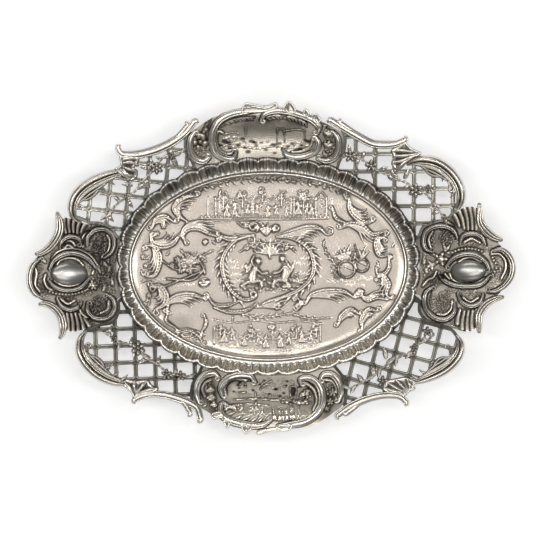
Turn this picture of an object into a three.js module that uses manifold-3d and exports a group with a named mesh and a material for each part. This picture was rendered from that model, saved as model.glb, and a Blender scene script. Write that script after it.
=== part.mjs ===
// Oval silver tray with a chased well, a fluted wall and a pierced rococo border.
// Millimetres, +Z up, the tray standing on z = 0 with the middle of its outline over the origin.
// The border is one dished surface. Sheet pieces (trellis panels and plates) lie in that surface, and the
// cast ornaments (scrolls, shells, vines, bosses) are seated on top of it.
import * as THREE from 'three';
import { mergeVertices } from 'three/addons/utils/BufferGeometryUtils.js';
import { TessellateModifier } from 'three/addons/modifiers/TessellateModifier.js';
import Module from 'manifold-3d';

const wasm = await Module();
wasm.setup();

// Overall sizes
const TRAY_LENGTH = 330;
const TRAY_WIDTH = 225.2;
const WELL_LENGTH = 186.6;
const WELL_WIDTH = 126.4;
const WELL_SHIFT = [-2, 0.6];
const LIP_HEIGHT = 14;
const BORDER_RISE = 16;
const BORDER_BEND = 1.6;
const SWELL_RISE = 0.9;

// Gauges and clearances
const FLOOR_GAUGE = 1.2;
const WALL_GAUGE = 1;
const SHEET_GAUGE = 1.1;
const SEAM = 0.3;
const LIP_CLEARANCE = 1.25;
const ORNAMENT_LIFT = 0.45;

// Well
const FLOOR_FLANGE = 4.4;
const FLOOR_EDGE_RUN = 1;
const FLOOR_EDGE_LIFT = 0.5;
const FLOOR_DISH_RUN = 9;
const THREAD_WIDTH = 2.6;
const THREAD_HEIGHT = 1.9;
const THREAD_TAPER = 0.5;
const RELIEF_SINK = 0.3;
const RELIEF_CROWN = 0.6;
const RELIEF_STEP = 10;
const RELIEF_STEPS_MIN = 3;
const RELIEF_ENDS = 0.35;
const FIGURE_SIDES = 6;

// Fluted wall
const WALL_RUN = 9.6;
const FLUTE_GROUPS = 38;
const FLUTES_IN_GROUP = 3;
const FLUTE_DEPTH = 0.85;
const FLUTE_SWEEP = 0.8 * Math.PI;
const SCALLOP = 1;
const LIP_OVERHANG = 0.6;
const LIP_BEVEL = [0.85, 1.4];

// Trellis
const BAR_WIDTH = 2.9;
const TRELLIS_MARGIN = 2.2;
const CELLS_OUT = 6;
const CELL_REACH = 0.9;

// Ornaments
const SCROLL_CROWN = 0.85;
const SCROLL_FOOT = 0.5;
const SCROLL_STEP = 7;
const SCROLL_STEPS_MIN = 5;
const SHELL_GAUGE = 1.8;
const BOSS_HEIGHT = 4.2;
const BOSS_SIDES = 20;
const VINE_HALF = 1;
const FLOWER_HEIGHT = 2.4;
const FLOWER_SIDES = 6;

// Facets
const OVAL_SIDES = 60;
const PANEL_FACET = 22;
const PLATE_FACET = 16;
const SPLIT_PASSES = 12;
const MITRE_LIMIT = 2;

// Colours of the worn silver
const WELL_SILVER = 0xbdb6a6;
const BRIGHT_SILVER = 0xd2ccbf;
const WALL_SILVER = 0xb3ab9b;
const TRELLIS_SILVER = 0x8d8878;
const PLATE_SILVER = 0x857a6c;
const BOSS_SILVER = 0x78756e;
const SCROLL_SILVER = 0x968e7f;
const LEAF_SILVER = 0x847c6a;

// Ovals of the full-size drawing that the ornament's points are read from, about the middle of the well
const DRAWN = { middle: [-1, 0.34], well: [93.3, 63.2], wall: [102.3, 72.2], rim: [165, 112.6] };

// The sheet starts under the lip of the wall.
const sheetEdge = WALL_RUN - LIP_OVERHANG;
const wallOval = [WELL_LENGTH / 2 + sheetEdge, WELL_WIDTH / 2 + sheetEdge];
const rimOval = [TRAY_LENGTH / 2, TRAY_WIDTH / 2];
const seatHeight = LIP_HEIGHT - WALL_GAUGE - LIP_CLEARANCE;
const footTop = FLOOR_GAUGE + SEAM + WALL_GAUGE;

// Places on the border

function reach([a, b], angle) {
  return (a * b) / Math.hypot(b * Math.cos(angle), a * Math.sin(angle));
}

// Where a point of the drawing lies: its bearing from the middle, and its share of the way from wall to rim.
function drawn([x, y]) {
  const dx = x - DRAWN.middle[0];
  const dy = y - DRAWN.middle[1];
  const angle = Math.atan2(dy, dx);
  const inner = reach(DRAWN.wall, angle);
  return { angle, share: (Math.hypot(dx, dy) - inner) / (reach(DRAWN.rim, angle) - inner) };
}

// A point of the drawing, carried to the tray's own sizes.
function place(point) {
  const { angle, share } = drawn(point);
  const wall = reach(wallOval, angle);
  const radius = wall + share * (reach(rimOval, angle) - wall);
  return [WELL_SHIFT[0] + radius * Math.cos(angle), WELL_SHIFT[1] + radius * Math.sin(angle)];
}

// The side cartouches swell a little over the dished border.
const SWELL_RADII = [46, 20];
const swells = [place([-3, 88]), place([1, -90])];

function swellAt(x, y) {
  let rise = 0;
  for (const middle of swells) {
    const far = Math.hypot((x - middle[0]) / SWELL_RADII[0], (y - middle[1]) / SWELL_RADII[1]);
    rise += SWELL_RISE * Math.max(0, 1 - far ** 2) ** 2;
  }
  return rise;
}

// Height of the sheet's upper face over any point of the plan.
function sheetTop(x, y) {
  const dx = x - WELL_SHIFT[0];
  const dy = y - WELL_SHIFT[1];
  const angle = Math.atan2(dy, dx);
  const wall = reach(wallOval, angle);
  const share = (Math.hypot(dx, dy) - wall) / (reach(rimOval, angle) - wall);
  const flat = 1 - THREE.MathUtils.clamp(share, 0, 1);
  return seatHeight + BORDER_RISE * (1 - flat ** BORDER_BEND) + swellAt(x, y);
}

// A point of the drawing inside the well, and the height of the floor's upper face there.
function placeInWell([x, y]) {
  return [
    WELL_SHIFT[0] + ((x - DRAWN.middle[0]) * WELL_LENGTH) / 2 / DRAWN.well[0],
    WELL_SHIFT[1] + ((y - DRAWN.middle[1]) * WELL_WIDTH) / 2 / DRAWN.well[1],
  ];
}

const floorEdge = -THREAD_WIDTH / 2 - SEAM;

function floorTop(x, y) {
  const dx = x - WELL_SHIFT[0];
  const dy = y - WELL_SHIFT[1];
  const run = Math.hypot(dx, dy) - reach([WELL_LENGTH / 2, WELL_WIDTH / 2], Math.atan2(dy, dx));
  const slope = (run - floorEdge + FLOOR_DISH_RUN) / (FLOOR_DISH_RUN - FLOOR_EDGE_RUN);
  return FLOOR_GAUGE + FLOOR_EDGE_LIFT * THREE.MathUtils.clamp(slope, 0, 1);
}

// The two grounds that ornament lies on: how it is placed, seated, raised and stepped there.
const border = {
  place,
  top: sheetTop,
  lift: ORNAMENT_LIFT,
  crown: SCROLL_CROWN,
  foot: SCROLL_FOOT,
  step: SCROLL_STEP,
  stepsMin: SCROLL_STEPS_MIN,
};
const wellFloor = {
  place: placeInWell,
  top: floorTop,
  lift: -RELIEF_SINK,
  crown: RELIEF_CROWN,
  foot: RELIEF_SINK,
  step: RELIEF_STEP,
  stepsMin: RELIEF_STEPS_MIN,
};

// Solids

function solidOf(geometry) {
  const bare = geometry.clone();
  bare.deleteAttribute('normal');
  bare.deleteAttribute('uv');
  const merged = mergeVertices(bare, 1e-4);
  const triVerts = new Uint32Array(merged.index.array);
  const vertProperties = merged.attributes.position.array;
  const solid = new wasm.Manifold(new wasm.Mesh({ numProp: 3, vertProperties, triVerts }));
  if (solid.volume() > 0) {
    return solid;
  }
  const turned = triVerts.map((_, i) => triVerts[i + 2 - 2 * (i % 3)]);
  return new wasm.Manifold(new wasm.Mesh({ numProp: 3, vertProperties, triVerts: turned }));
}

function geometryOf(solid) {
  const mesh = solid.getMesh();
  const geometry = new THREE.BufferGeometry();
  geometry.setAttribute('position', new THREE.BufferAttribute(mesh.vertProperties, 3));
  geometry.setIndex(new THREE.BufferAttribute(mesh.triVerts, 1));
  geometry.computeVertexNormals();
  return geometry;
}

function largestBody(solid) {
  const bodies = solid.decompose();
  return bodies.reduce((best, body) => (body.volume() > best.volume() ? body : best));
}

// A closed skin over rings of points: a tube with two flat ends, or a ring when it is looped.
function loft(rings, looped) {
  const count = rings[0].length;
  const positions = rings.flat(2);
  const faces = [];
  const last = looped ? rings.length : rings.length - 1;
  for (let i = 0; i < last; i += 1) {
    const here = i * count;
    const next = ((i + 1) % rings.length) * count;
    for (let j = 0; j < count; j += 1) {
      const k = (j + 1) % count;
      faces.push(here + j, here + k, next + j);
      faces.push(here + k, next + k, next + j);
    }
  }
  for (let j = 1; j < count - 1 && !looped; j += 1) {
    const end = (rings.length - 1) * count;
    faces.push(0, j + 1, j);
    faces.push(end, end + j, end + j + 1);
  }
  const geometry = new THREE.BufferGeometry();
  geometry.setAttribute('position', new THREE.Float32BufferAttribute(positions, 3));
  geometry.setIndex(faces);
  return geometry;
}

// An oval ring: a round lathe of its profile, pushed out from its circle to the oval.
function ovalLathe(profile, halves) {
  const circle = halves[1];
  const lathe = new THREE.LatheGeometry(
    profile.map(([run, up]) => new THREE.Vector2(circle + run, up)),
    OVAL_SIDES,
  );
  lathe.rotateX(Math.PI / 2);
  const at = lathe.attributes.position;
  for (let i = 0; i < at.count; i += 1) {
    const turn = Math.atan2(at.getY(i), at.getX(i));
    const run = Math.hypot(at.getX(i), at.getY(i)) - circle;
    const along = (halves[0] + run) * Math.cos(turn);
    const across = (halves[1] + run) * Math.sin(turn);
    at.setXY(i, WELL_SHIFT[0] + along, WELL_SHIFT[1] + across);
  }
  return solidOf(lathe);
}

function ovalOutline(run) {
  const oval = new THREE.EllipseCurve(
    ...WELL_SHIFT,
    WELL_LENGTH / 2 + run,
    WELL_WIDTH / 2 + run,
  );
  return oval.getPoints(OVAL_SIDES).slice(0, -1).map((point) => [point.x, point.y]);
}

// An outline moved outwards by a distance, corner by corner.
function grown(outline, distance) {
  const count = outline.length;
  const turned = THREE.ShapeUtils.area(outline.map(([x, y]) => new THREE.Vector2(x, y))) > 0 ? 1 : -1;
  return outline.map(([x, y], i) => {
    const before = outline[(i + count - 1) % count];
    const after = outline[(i + 1) % count];
    const into = new THREE.Vector2(x - before[0], y - before[1]).normalize();
    const away = new THREE.Vector2(after[0] - x, after[1] - y).normalize();
    const out = new THREE.Vector2(into.y + away.y, -into.x - away.x).normalize();
    const stretch = 1 / Math.max(1 / MITRE_LIMIT, out.dot(new THREE.Vector2(into.y, -into.x)));
    return [x + out.x * turned * distance * stretch, y + out.y * turned * distance * stretch];
  });
}

// A straight prism over an outline, from z = bottom to z = top.
function prism(outline, bottom, top) {
  const shape = new THREE.Shape(outline.map(([x, y]) => new THREE.Vector2(x, y)));
  const geometry = new THREE.ExtrudeGeometry(shape, { depth: top - bottom, bevelEnabled: false });
  geometry.translate(0, 0, bottom);
  return solidOf(geometry);
}

// Sheet pieces: flat outlines, cut flat against their neighbours, then dished with the border

const CUTTER = [-1, SHEET_GAUGE + 1];

function dished(flat, lift, longestEdge) {
  const split = new TessellateModifier(longestEdge, SPLIT_PASSES);
  const geometry = split.modify(geometryOf(flat).toNonIndexed());
  const at = geometry.attributes.position;
  for (let i = 0; i < at.count; i += 1) {
    at.setZ(i, at.getZ(i) + lift + sheetTop(at.getX(i), at.getY(i)));
  }
  return solidOf(geometry);
}

const plateOutlines = {
  back: [
    [-46, 60], [-52, 73], [-55.5, 80], [-55, 88], [-50, 93], [-42, 98.5], [-35, 102.5], [-25, 105.5],
    [-16, 107.5], [-8, 108.5], [0, 107.8], [8, 106.8], [13, 108.5], [19, 105], [28, 101.5], [34, 98.5],
    [43, 94], [49, 90], [49.5, 80], [46, 71], [40, 60],
  ],
  front: [
    [-42, -60], [-46, -71], [-51, -80], [-51, -90], [-49, -93], [-40, -98.5], [-33, -103], [-26, -107],
    [-17, -109.5], [-8, -110.3], [2, -109.3], [14, -108.8], [28, -107.2], [36, -103], [43, -98],
    [49, -93], [50.5, -83], [48, -74], [42, -66], [40, -60],
  ],
  left: [
    [-94, 16], [-104, 20], [-108, 26], [-115, 28.5], [-124, 29], [-131, 31.5], [-138.5, 33], [-141.5, 28],
    [-142.5, 22], [-146, 16], [-153, 10], [-158.5, 4], [-161.8, -4], [-161.6, -12], [-157, -20],
    [-150, -24], [-144, -28], [-140, -33], [-138.5, -41], [-133, -43.5], [-125, -42], [-114, -38],
    [-106, -36], [-103, -29], [-102.8, -22], [-94, -16],
  ],
  right: [
    [94, 16], [101.5, 20], [104.5, 26], [112, 29.5], [120, 31], [125, 36], [131, 40], [137, 40.5],
    [141.5, 38], [142, 30], [147, 23], [152.5, 18], [157, 12.5], [161.5, 8], [164.5, 1], [163.4, -6],
    [158.5, -13], [152.5, -20], [146, -25.5], [141.5, -32], [139.5, -40], [134, -43.5], [126, -42],
    [117, -38.5], [108, -36], [102.5, -30], [102, -20], [94, -16],
  ],
};

const panels = {
  back_left: {
    outline: [
      [-90, 14], [-103, 19], [-118, 27], [-127, 31.5], [-132.5, 34], [-133.5, 40], [-131.5, 47],
      [-126.5, 53], [-119, 57.5], [-110, 61.5], [-101, 65.5], [-98.5, 71], [-96, 75.4], [-88, 76],
      [-79, 78.3], [-70, 81.8], [-62, 86.5], [-54, 91], [-46, 88], [-40, 60], [-66, 36],
    ],
    cell: [-102.5, 43],
    pitch: [12.4, 11.4],
    turn: -6,
  },
  back_right: {
    outline: [
      [90, 14], [103, 20], [118, 28], [125, 36], [127, 39], [129, 45], [128.7, 52], [125.5, 58.8],
      [120, 65], [113, 70], [104, 72], [97, 74.5], [93, 80.5], [88, 83.5], [77, 82.4], [69, 83.2],
      [62, 86.5], [54, 90.5], [44, 90], [40, 60], [66, 36],
    ],
    cell: [104, 47],
    pitch: [13.1, 11.7],
    turn: 0,
  },
  front_left: {
    outline: [
      [-90, -14], [-101, -21], [-112, -34], [-124, -41], [-127.8, -49], [-127.8, -57], [-124.3, -64.5],
      [-118, -71], [-110, -75.6], [-102, -78], [-95, -81.5], [-90, -86], [-84, -86.4], [-78, -85.6],
      [-70, -86.2], [-62, -88.4], [-54, -92], [-46, -90], [-40, -60], [-66, -36],
    ],
    cell: [-97.5, -47.4],
    pitch: [13.2, 11.4],
    turn: 2,
  },
  front_right: {
    outline: [
      [90, -14], [101, -21], [112, -32], [123, -41], [127, -46], [129, -52], [127.8, -58.5],
      [123.8, -64.5], [118, -69.5], [110.5, -73.5], [102, -76.8], [96, -80], [91, -85], [83, -86.4],
      [75, -86.6], [67, -88.4], [59, -91.6], [52, -94], [46, -90], [40, -60], [66, -36],
    ],
    cell: [92.5, -53.2],
    pitch: [12.8, 12.5],
    turn: -15,
  },
};

const wallCutter = (more) => prism(ovalOutline(sheetEdge + more), ...CUTTER);

function plateFlat(side) {
  const slab = prism(plateOutlines[side].map(place), 0, SHEET_GAUGE);
  return largestBody(slab.subtract(wallCutter(0)));
}

// The panel's ground, drawn in by a margin, clear of the wall and of the plates beside it.
function panelGround(outline, margin, bottom, top) {
  let ground = prism(grown(outline, -margin), bottom, top).subtract(wallCutter(margin));
  for (const side of Object.values(plateOutlines)) {
    ground = ground.subtract(prism(grown(side.map(place), SEAM + margin), ...CUTTER));
  }
  return ground;
}

// A point of a panel's own grid, turned into the drawing.
function gridPoint({ cell, turn }, x, y) {
  const angle = THREE.MathUtils.degToRad(turn);
  return [
    cell[0] + x * Math.cos(angle) - y * Math.sin(angle),
    cell[1] + x * Math.sin(angle) + y * Math.cos(angle),
  ];
}

// The square openings between the bars of the trellis, as far as the grid lies on the border.
function openings(panel) {
  const half = panel.pitch.map((pitch) => (pitch - BAR_WIDTH) / 2);
  const corners = [[1, 1], [-1, 1], [-1, -1], [1, -1]];
  const cut = [];
  for (let column = -CELLS_OUT; column <= CELLS_OUT; column += 1) {
    for (let row = -CELLS_OUT; row <= CELLS_OUT; row += 1) {
      const x = column * panel.pitch[0];
      const y = row * panel.pitch[1];
      if (Math.abs(drawn(gridPoint(panel, x, y)).share - 0.5) < CELL_REACH) {
        const square = corners.map(([across, up]) => [x + across * half[0], y + up * half[1]]);
        cut.push(prism(square.map((corner) => place(gridPoint(panel, ...corner))), ...CUTTER));
      }
    }
  }
  return cut;
}

function trellisPanel(panel) {
  const outline = panel.outline.map(place);
  const ground = panelGround(outline, TRELLIS_MARGIN, ...CUTTER);
  const holes = wasm.Manifold.union(openings(panel)).intersect(ground);
  const flat = panelGround(outline, 0, 0, SHEET_GAUGE).subtract(holes);
  return dished(largestBody(flat), -SHEET_GAUGE, PANEL_FACET);
}

// Well

// The floor is an oval disc, lofted from spokes that share its middle.
function wellDisc() {
  const halves = [WELL_LENGTH / 2, WELL_WIDTH / 2];
  const runs = [
    [FLOOR_FLANGE, 0],
    [FLOOR_FLANGE, FLOOR_GAUGE],
    [floorEdge, FLOOR_GAUGE],
    [floorEdge - FLOOR_EDGE_RUN, FLOOR_GAUGE + FLOOR_EDGE_LIFT],
    [floorEdge - FLOOR_DISH_RUN, FLOOR_GAUGE],
  ];
  const rings = [];
  for (let i = 0; i < OVAL_SIDES; i += 1) {
    const turn = (2 * Math.PI * i) / OVAL_SIDES;
    const spoke = runs.map(([run, up]) => [
      WELL_SHIFT[0] + (halves[0] + run) * Math.cos(turn),
      WELL_SHIFT[1] + (halves[1] + run) * Math.sin(turn),
      up,
    ]);
    rings.push([[...WELL_SHIFT, 0], ...spoke, [...WELL_SHIFT, FLOOR_GAUGE]]);
  }
  return solidOf(loft(rings, true));
}

function wellThread() {
  const half = THREAD_WIDTH / 2;
  const foot = FLOOR_GAUGE + SEAM;
  const crown = [THREAD_TAPER * half, foot + THREAD_HEIGHT];
  const profile = [[-half, foot], [half, foot], crown, [-crown[0], crown[1]], [-half, foot]];
  return ovalLathe(profile, [WELL_LENGTH / 2, WELL_WIDTH / 2]);
}

// The wall's cross-section: a quarter-oval cavetto with an outward lip, first its inner face, then its outer.
// Each point holds its run from the thread, its height, and how far the flutes and scallops move it.
function wallSection() {
  const foot = THREAD_WIDTH / 2 + SEAM;
  const neck = sheetEdge - SEAM - WALL_GAUGE - FLUTE_DEPTH / 2 - foot;
  const rise = LIP_HEIGHT - WALL_GAUGE - footTop;
  const face = (share, gauge) => {
    const turn = (share * Math.PI) / 2;
    const slope = [rise * Math.sin(turn), -neck * Math.cos(turn)];
    const size = Math.hypot(...slope);
    return {
      run: foot + neck * Math.sin(turn) + (gauge * slope[0]) / size,
      up: footTop + rise * (1 - Math.cos(turn)) + (gauge * slope[1]) / size,
      flute: FLUTE_DEPTH * Math.sin(FLUTE_SWEEP * share),
      scallop: 0,
    };
  };
  const lip = { run: WALL_RUN, up: LIP_HEIGHT, flute: 0, scallop: SCALLOP };
  const bevel = {
    run: WALL_RUN - LIP_BEVEL[0],
    up: LIP_HEIGHT - LIP_BEVEL[1],
    flute: 0,
    scallop: SCALLOP / 3,
  };
  const inner = [0, 0.5, 1].map((share) => face(share, 0));
  const outer = [0.5, 0.1].map((share) => face(share, WALL_GAUGE));
  return [...inner, lip, bevel, ...outer];
}

function flutedWall() {
  const section = wallSection();
  const columns = FLUTE_GROUPS * FLUTES_IN_GROUP * 2;
  const oval = new THREE.EllipseCurve(0, 0, wallOval[0], wallOval[1]);
  oval.arcLengthDivisions = 2000;
  const rings = [];
  for (let i = 0; i < columns; i += 1) {
    const turn = 2 * Math.PI * oval.getUtoTmapping(i / columns);
    const hollow = i % 2;
    const group = Math.abs(Math.sin((Math.PI * i) / (FLUTES_IN_GROUP * 2)));
    rings.push(section.map(({ run, up, flute, scallop }) => {
      const out = run + flute * (hollow - 0.5) + scallop * (group - 1);
      return [
        WELL_SHIFT[0] + (WELL_LENGTH / 2 + out) * Math.cos(turn),
        WELL_SHIFT[1] + (WELL_WIDTH / 2 + out) * Math.sin(turn),
        up - 0.5 * flute * (hollow - 0.5),
      ];
    }));
  }
  return solidOf(loft(rings, true));
}

// Ornaments seated on the sheet

// Cross-sections as [across, up] shares of the half width and the height.
const ROUND = [[-1, 0], [-0.55, 1], [0.55, 1], [1, 0]];
const CHANNEL = [[-1, 0], [-0.75, 1], [-0.1, 0.45], [0.45, 0.85], [1, 0]];
// The clearance round an ornament is a plain block, so that its neighbours end square beside it.
const BLOCK = [[-1, 0], [-1, 1.5], [1, 1.5], [1, 0]];

// The stem of a vine is a plain ridge.
const RIDGE = [[-1, 0], [0, 1], [1, 0]];

// A scroll is a half-round or channelled band along a smooth line of [x, y, half width] points.
function scroll(points, section, grow, ground = border) {
  const line = new THREE.CatmullRomCurve3(
    points.map(([x, y]) => new THREE.Vector3(...ground.place([x, y]), 0)),
    false,
    'centripetal',
  );
  const steps = Math.max(ground.stepsMin, Math.round(line.getLength() / ground.step));
  const rings = [];
  for (let i = 0; i <= steps; i += 1) {
    const share = i / steps;
    const spot = line.getUtoTmapping(share) * (points.length - 1);
    const before = Math.min(points.length - 2, Math.floor(spot));
    const half = THREE.MathUtils.lerp(points[before][2], points[before + 1][2], spot - before) + grow;
    const along = line.getTangentAt(share);
    const push = i === 0 ? -grow : grow;
    const at = line.getPointAt(share);
    if (i === 0 || i === steps) {
      at.addScaledVector(along, push);
    }
    const height = ground.crown * half + ground.foot + grow;
    rings.push((grow > 0 ? BLOCK : section).map(([across, up]) => {
      const x = at.x - along.y * across * half;
      const y = at.y + along.x * across * half;
      return [x, y, ground.top(x, y) + ground.lift - grow + up * height];
    }));
  }
  return solidOf(loft(rings, false));
}

// A shell or a leaf: an outline of sheet on top of the border.
function leaf(outline, gauge, grow) {
  const flat = prism(grown(outline.map(place), grow), -grow, gauge + grow);
  return dished(flat, ORNAMENT_LIFT, PLATE_FACET);
}

// A round or oval dome, such as a boss or a flower head, and its block of clearance.
const DOME = [[0, 0], [1, 0], [0.8, 0.65], [0, 1]];
const DOME_BLOCK = [[0, 0], [1, 0], [1, 1], [0, 1]];

function dome([x, y], halves, height, sides, grow, ground = border) {
  const profile = grow > 0 ? DOME_BLOCK : DOME;
  const lathe = new THREE.LatheGeometry(
    profile.map(([out, up]) => new THREE.Vector2(out, up * (height + 2 * grow))),
    sides,
  );
  lathe.rotateX(Math.PI / 2);
  lathe.scale(halves[0] + grow, halves[1] + grow, 1);
  const [placedX, placedY] = ground.place([x, y]);
  lathe.translate(placedX, placedY, 0);
  const at = lathe.attributes.position;
  for (let i = 0; i < at.count; i += 1) {
    at.setZ(i, at.getZ(i) + ground.lift - grow + ground.top(at.getX(i), at.getY(i)));
  }
  return solidOf(lathe);
}

function vine({ stems, flowers }, grow) {
  const pieces = stems.map((stem) => scroll(stem.map((point) => [...point, VINE_HALF]), RIDGE, grow));
  for (const [x, y, radius] of flowers) {
    pieces.push(dome([x, y], [radius, radius], FLOWER_HEIGHT, FLOWER_SIDES, grow));
  }
  return wasm.Manifold.union(pieces);
}

const bosses = {
  left: { at: [-135, -4.5], halves: [12.5, 8.3] },
  right: { at: [134, -2.5], halves: [12, 7.4] },
};

const cornerScrolls = {
  back_left: [
    [
      [-126.5, 30.3, 1], [-131, 32.5, 1.8], [-133, 38, 2.9], [-131.3, 46, 3.3], [-126.8, 52, 3.4],
      [-120, 57, 3.4], [-113, 60.3, 3.2], [-106, 62.8, 2.6], [-99.5, 64.5, 1.4],
    ],
    [[-129.2, 41, 1.2], [-128, 46, 1.2], [-124.5, 51, 1.6], [-117.5, 53.6, 1.6], [-111, 51.8, 0.9]],
  ],
  back_right: [
    [
      [92.5, 69, 1], [98, 71, 2.4], [105, 71.5, 3.5], [113, 69.6, 3.7], [120, 65, 3.6],
      [125.5, 58.5, 3.4],
      [128.5, 51.5, 3.3], [128.8, 45, 2.8], [126.5, 39.2, 1.4],
    ],
    [[110.5, 63, 0.9], [116, 62.6, 1.5], [120.3, 59, 1.7], [123.5, 53, 1.7]],
  ],
  front_left: [
    [
      [-123.5, -43, 1], [-127.3, -49, 2.4], [-127.3, -57, 3.2], [-124, -64, 3.4], [-118, -70.5, 3.4],
      [-111, -75, 3], [-104, -77.6, 2.5], [-97, -78.8, 1.3],
    ],
    [[-123.2, -53, 1.2], [-122.6, -60, 1.8], [-117.3, -65.8, 1.9], [-110, -67.6, 1.4], [-106.5, -66, 0.9]],
  ],
  front_right: [
    [
      [125.8, -46, 1], [128.6, -51.5, 2.4], [127.8, -58, 3.1], [124, -64, 3.3], [118, -69.2, 3.2],
      [111, -73, 3], [103.5, -76, 2.2], [97.5, -78, 1.1],
    ],
    [[121, -53.5, 0.9], [122.3, -59, 1.5], [119.5, -64.3, 1.7], [114.5, -67.3, 1.3], [110, -66.5, 0.9]],
  ],
};

const rimScrolls = {
  back_left: [
    [
      [-102, 79.6, 0.8], [-100, 76.6, 1.6], [-95, 75.5, 2.3], [-88, 75.8, 2.6], [-79, 78, 2.7],
      [-70, 81.6, 2.7], [-62, 86.3, 2.5], [-56, 91, 1.7], [-50.7, 97.8, 0.9],
    ],
    [[-63, 86.5, 1.6], [-59, 90.8, 1.6], [-55.4, 95.2, 0.7]],
  ],
  back_right: [
    [
      [41.5, 98.8, 0.9], [48.5, 94.3, 2], [56, 90, 2.5], [63, 86, 2.5], [69.5, 83, 2.4], [77, 82.2, 2.5],
      [85, 82.9, 2], [91, 85.2, 0.7],
    ],
    [[47.5, 97, 0.8], [54, 92.6, 1.6], [61, 87.6, 1.6]],
  ],
  front_left: [
    [
      [-90.6, -89, 0.7], [-86, -87, 1.5], [-79, -85.7, 2.1], [-71, -86.1, 2.3], [-63, -88.1, 2.4],
      [-54, -91.5, 2.3], [-48.5, -95.5, 1.9], [-46.3, -102.3, 1],
    ],
    [[-62, -88.5, 1.6], [-57, -92.4, 1.5], [-53.4, -98.2, 0.8]],
  ],
  front_right: [
    [
      [92, -90.8, 0.6], [88.5, -87.6, 1.5], [82, -86.3, 2], [75, -86.6, 2.1], [67, -88.4, 2.3],
      [59, -91.5, 2.4], [52, -95.3, 2.2], [46, -99.7, 0.9],
    ],
    [[62, -90, 1.4], [57, -94.6, 1.3], [51.5, -98.7, 0.8]],
  ],
};

const shells = {
  back_left: [
    [-101.3, 75], [-100.8, 68.3], [-104.5, 66.3], [-99, 61], [-94, 57.8], [-89.5, 60], [-88.8, 64.5],
    [-91, 67], [-88.6, 70], [-88, 74],
  ],
  back_right: [
    [91.5, 84.8], [94.8, 80.8], [98, 78.9], [102.3, 77], [101, 75], [97, 73.5], [93, 70.5], [89, 66.5],
    [84.5, 65.8], [82, 70], [83.3, 74.5], [81.5, 78.5], [86, 81],
  ],
  front_left: [
    [-98.5, -80.2], [-94, -83.4], [-91, -88.2], [-86, -86.5], [-78, -84.5], [-74.5, -82], [-79, -79.5],
    [-82, -76], [-90, -76.4], [-97, -75.6],
  ],
  front_right: [
    [100, -77.5], [97.3, -80], [98.3, -82], [94, -84.3], [91.3, -87], [86, -84.7], [78, -84], [76, -81],
    [79, -76.5], [85, -75], [92, -74],
  ],
};

const vines = {
  back_left: {
    stems: [
      [[-110, 33.5], [-104, 41.3], [-97, 46.5], [-90, 52], [-85, 58.5], [-80, 63.5],
      [-75.5, 69], [-72, 74]],
      [[-72, 74], [-65, 75.3], [-57, 79]],
    ],
    flowers: [[-110, 34, 2.6], [-97, 46.8, 2], [-76, 67.5, 3.2], [-65, 75.3, 2.6]],
  },
  back_right: {
    stems: [
      [
        [51.5, 76], [58, 74.5], [63, 72], [68.5, 68.5], [74, 64.5], [80, 62], [86, 59],
        [92, 57], [98, 52.3],
        [104.5, 50], [109, 45], [114, 38], [118.5, 33],
      ],
      [[98, 52.3], [106.6, 53.4]],
    ],
    flowers: [[54, 75, 3.2], [68.5, 68, 3.3], [98.4, 51.8, 3.6], [106.6, 53.4, 1.9], [87, 58.8, 1.9]],
  },
  front_left: {
    stems: [
      [
        [-110, -43], [-106, -47.5], [-100, -50.5], [-94, -52.3], [-88.5, -54.8], [-85, -60],
        [-79.5, -63.5],
        [-74, -67], [-68, -71.3], [-60, -73.3], [-53, -74.5],
      ],
    ],
    flowers: [[-105, -48.3, 2], [-88.5, -54.6, 3.6], [-69, -71.8, 2.6], [-60, -73.2, 2.6]],
  },
  front_right: {
    stems: [
      [
        [103.5, -43.5], [108, -42.6], [110.5, -45.5], [105.5, -49.5], [100, -52.3], [96, -57],
        [90, -59.6],
        [84.5, -62.5], [79.5, -65.8], [74, -69], [69.5, -74], [63, -77.5], [57.5, -80.6], [53.5, -82],
      ],
    ],
    flowers: [[104.3, -43.4, 2], [97.6, -54.5, 2.6], [79.5, -65, 2.4], [69.5, -73.5, 2.6]],
  },
};

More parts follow.
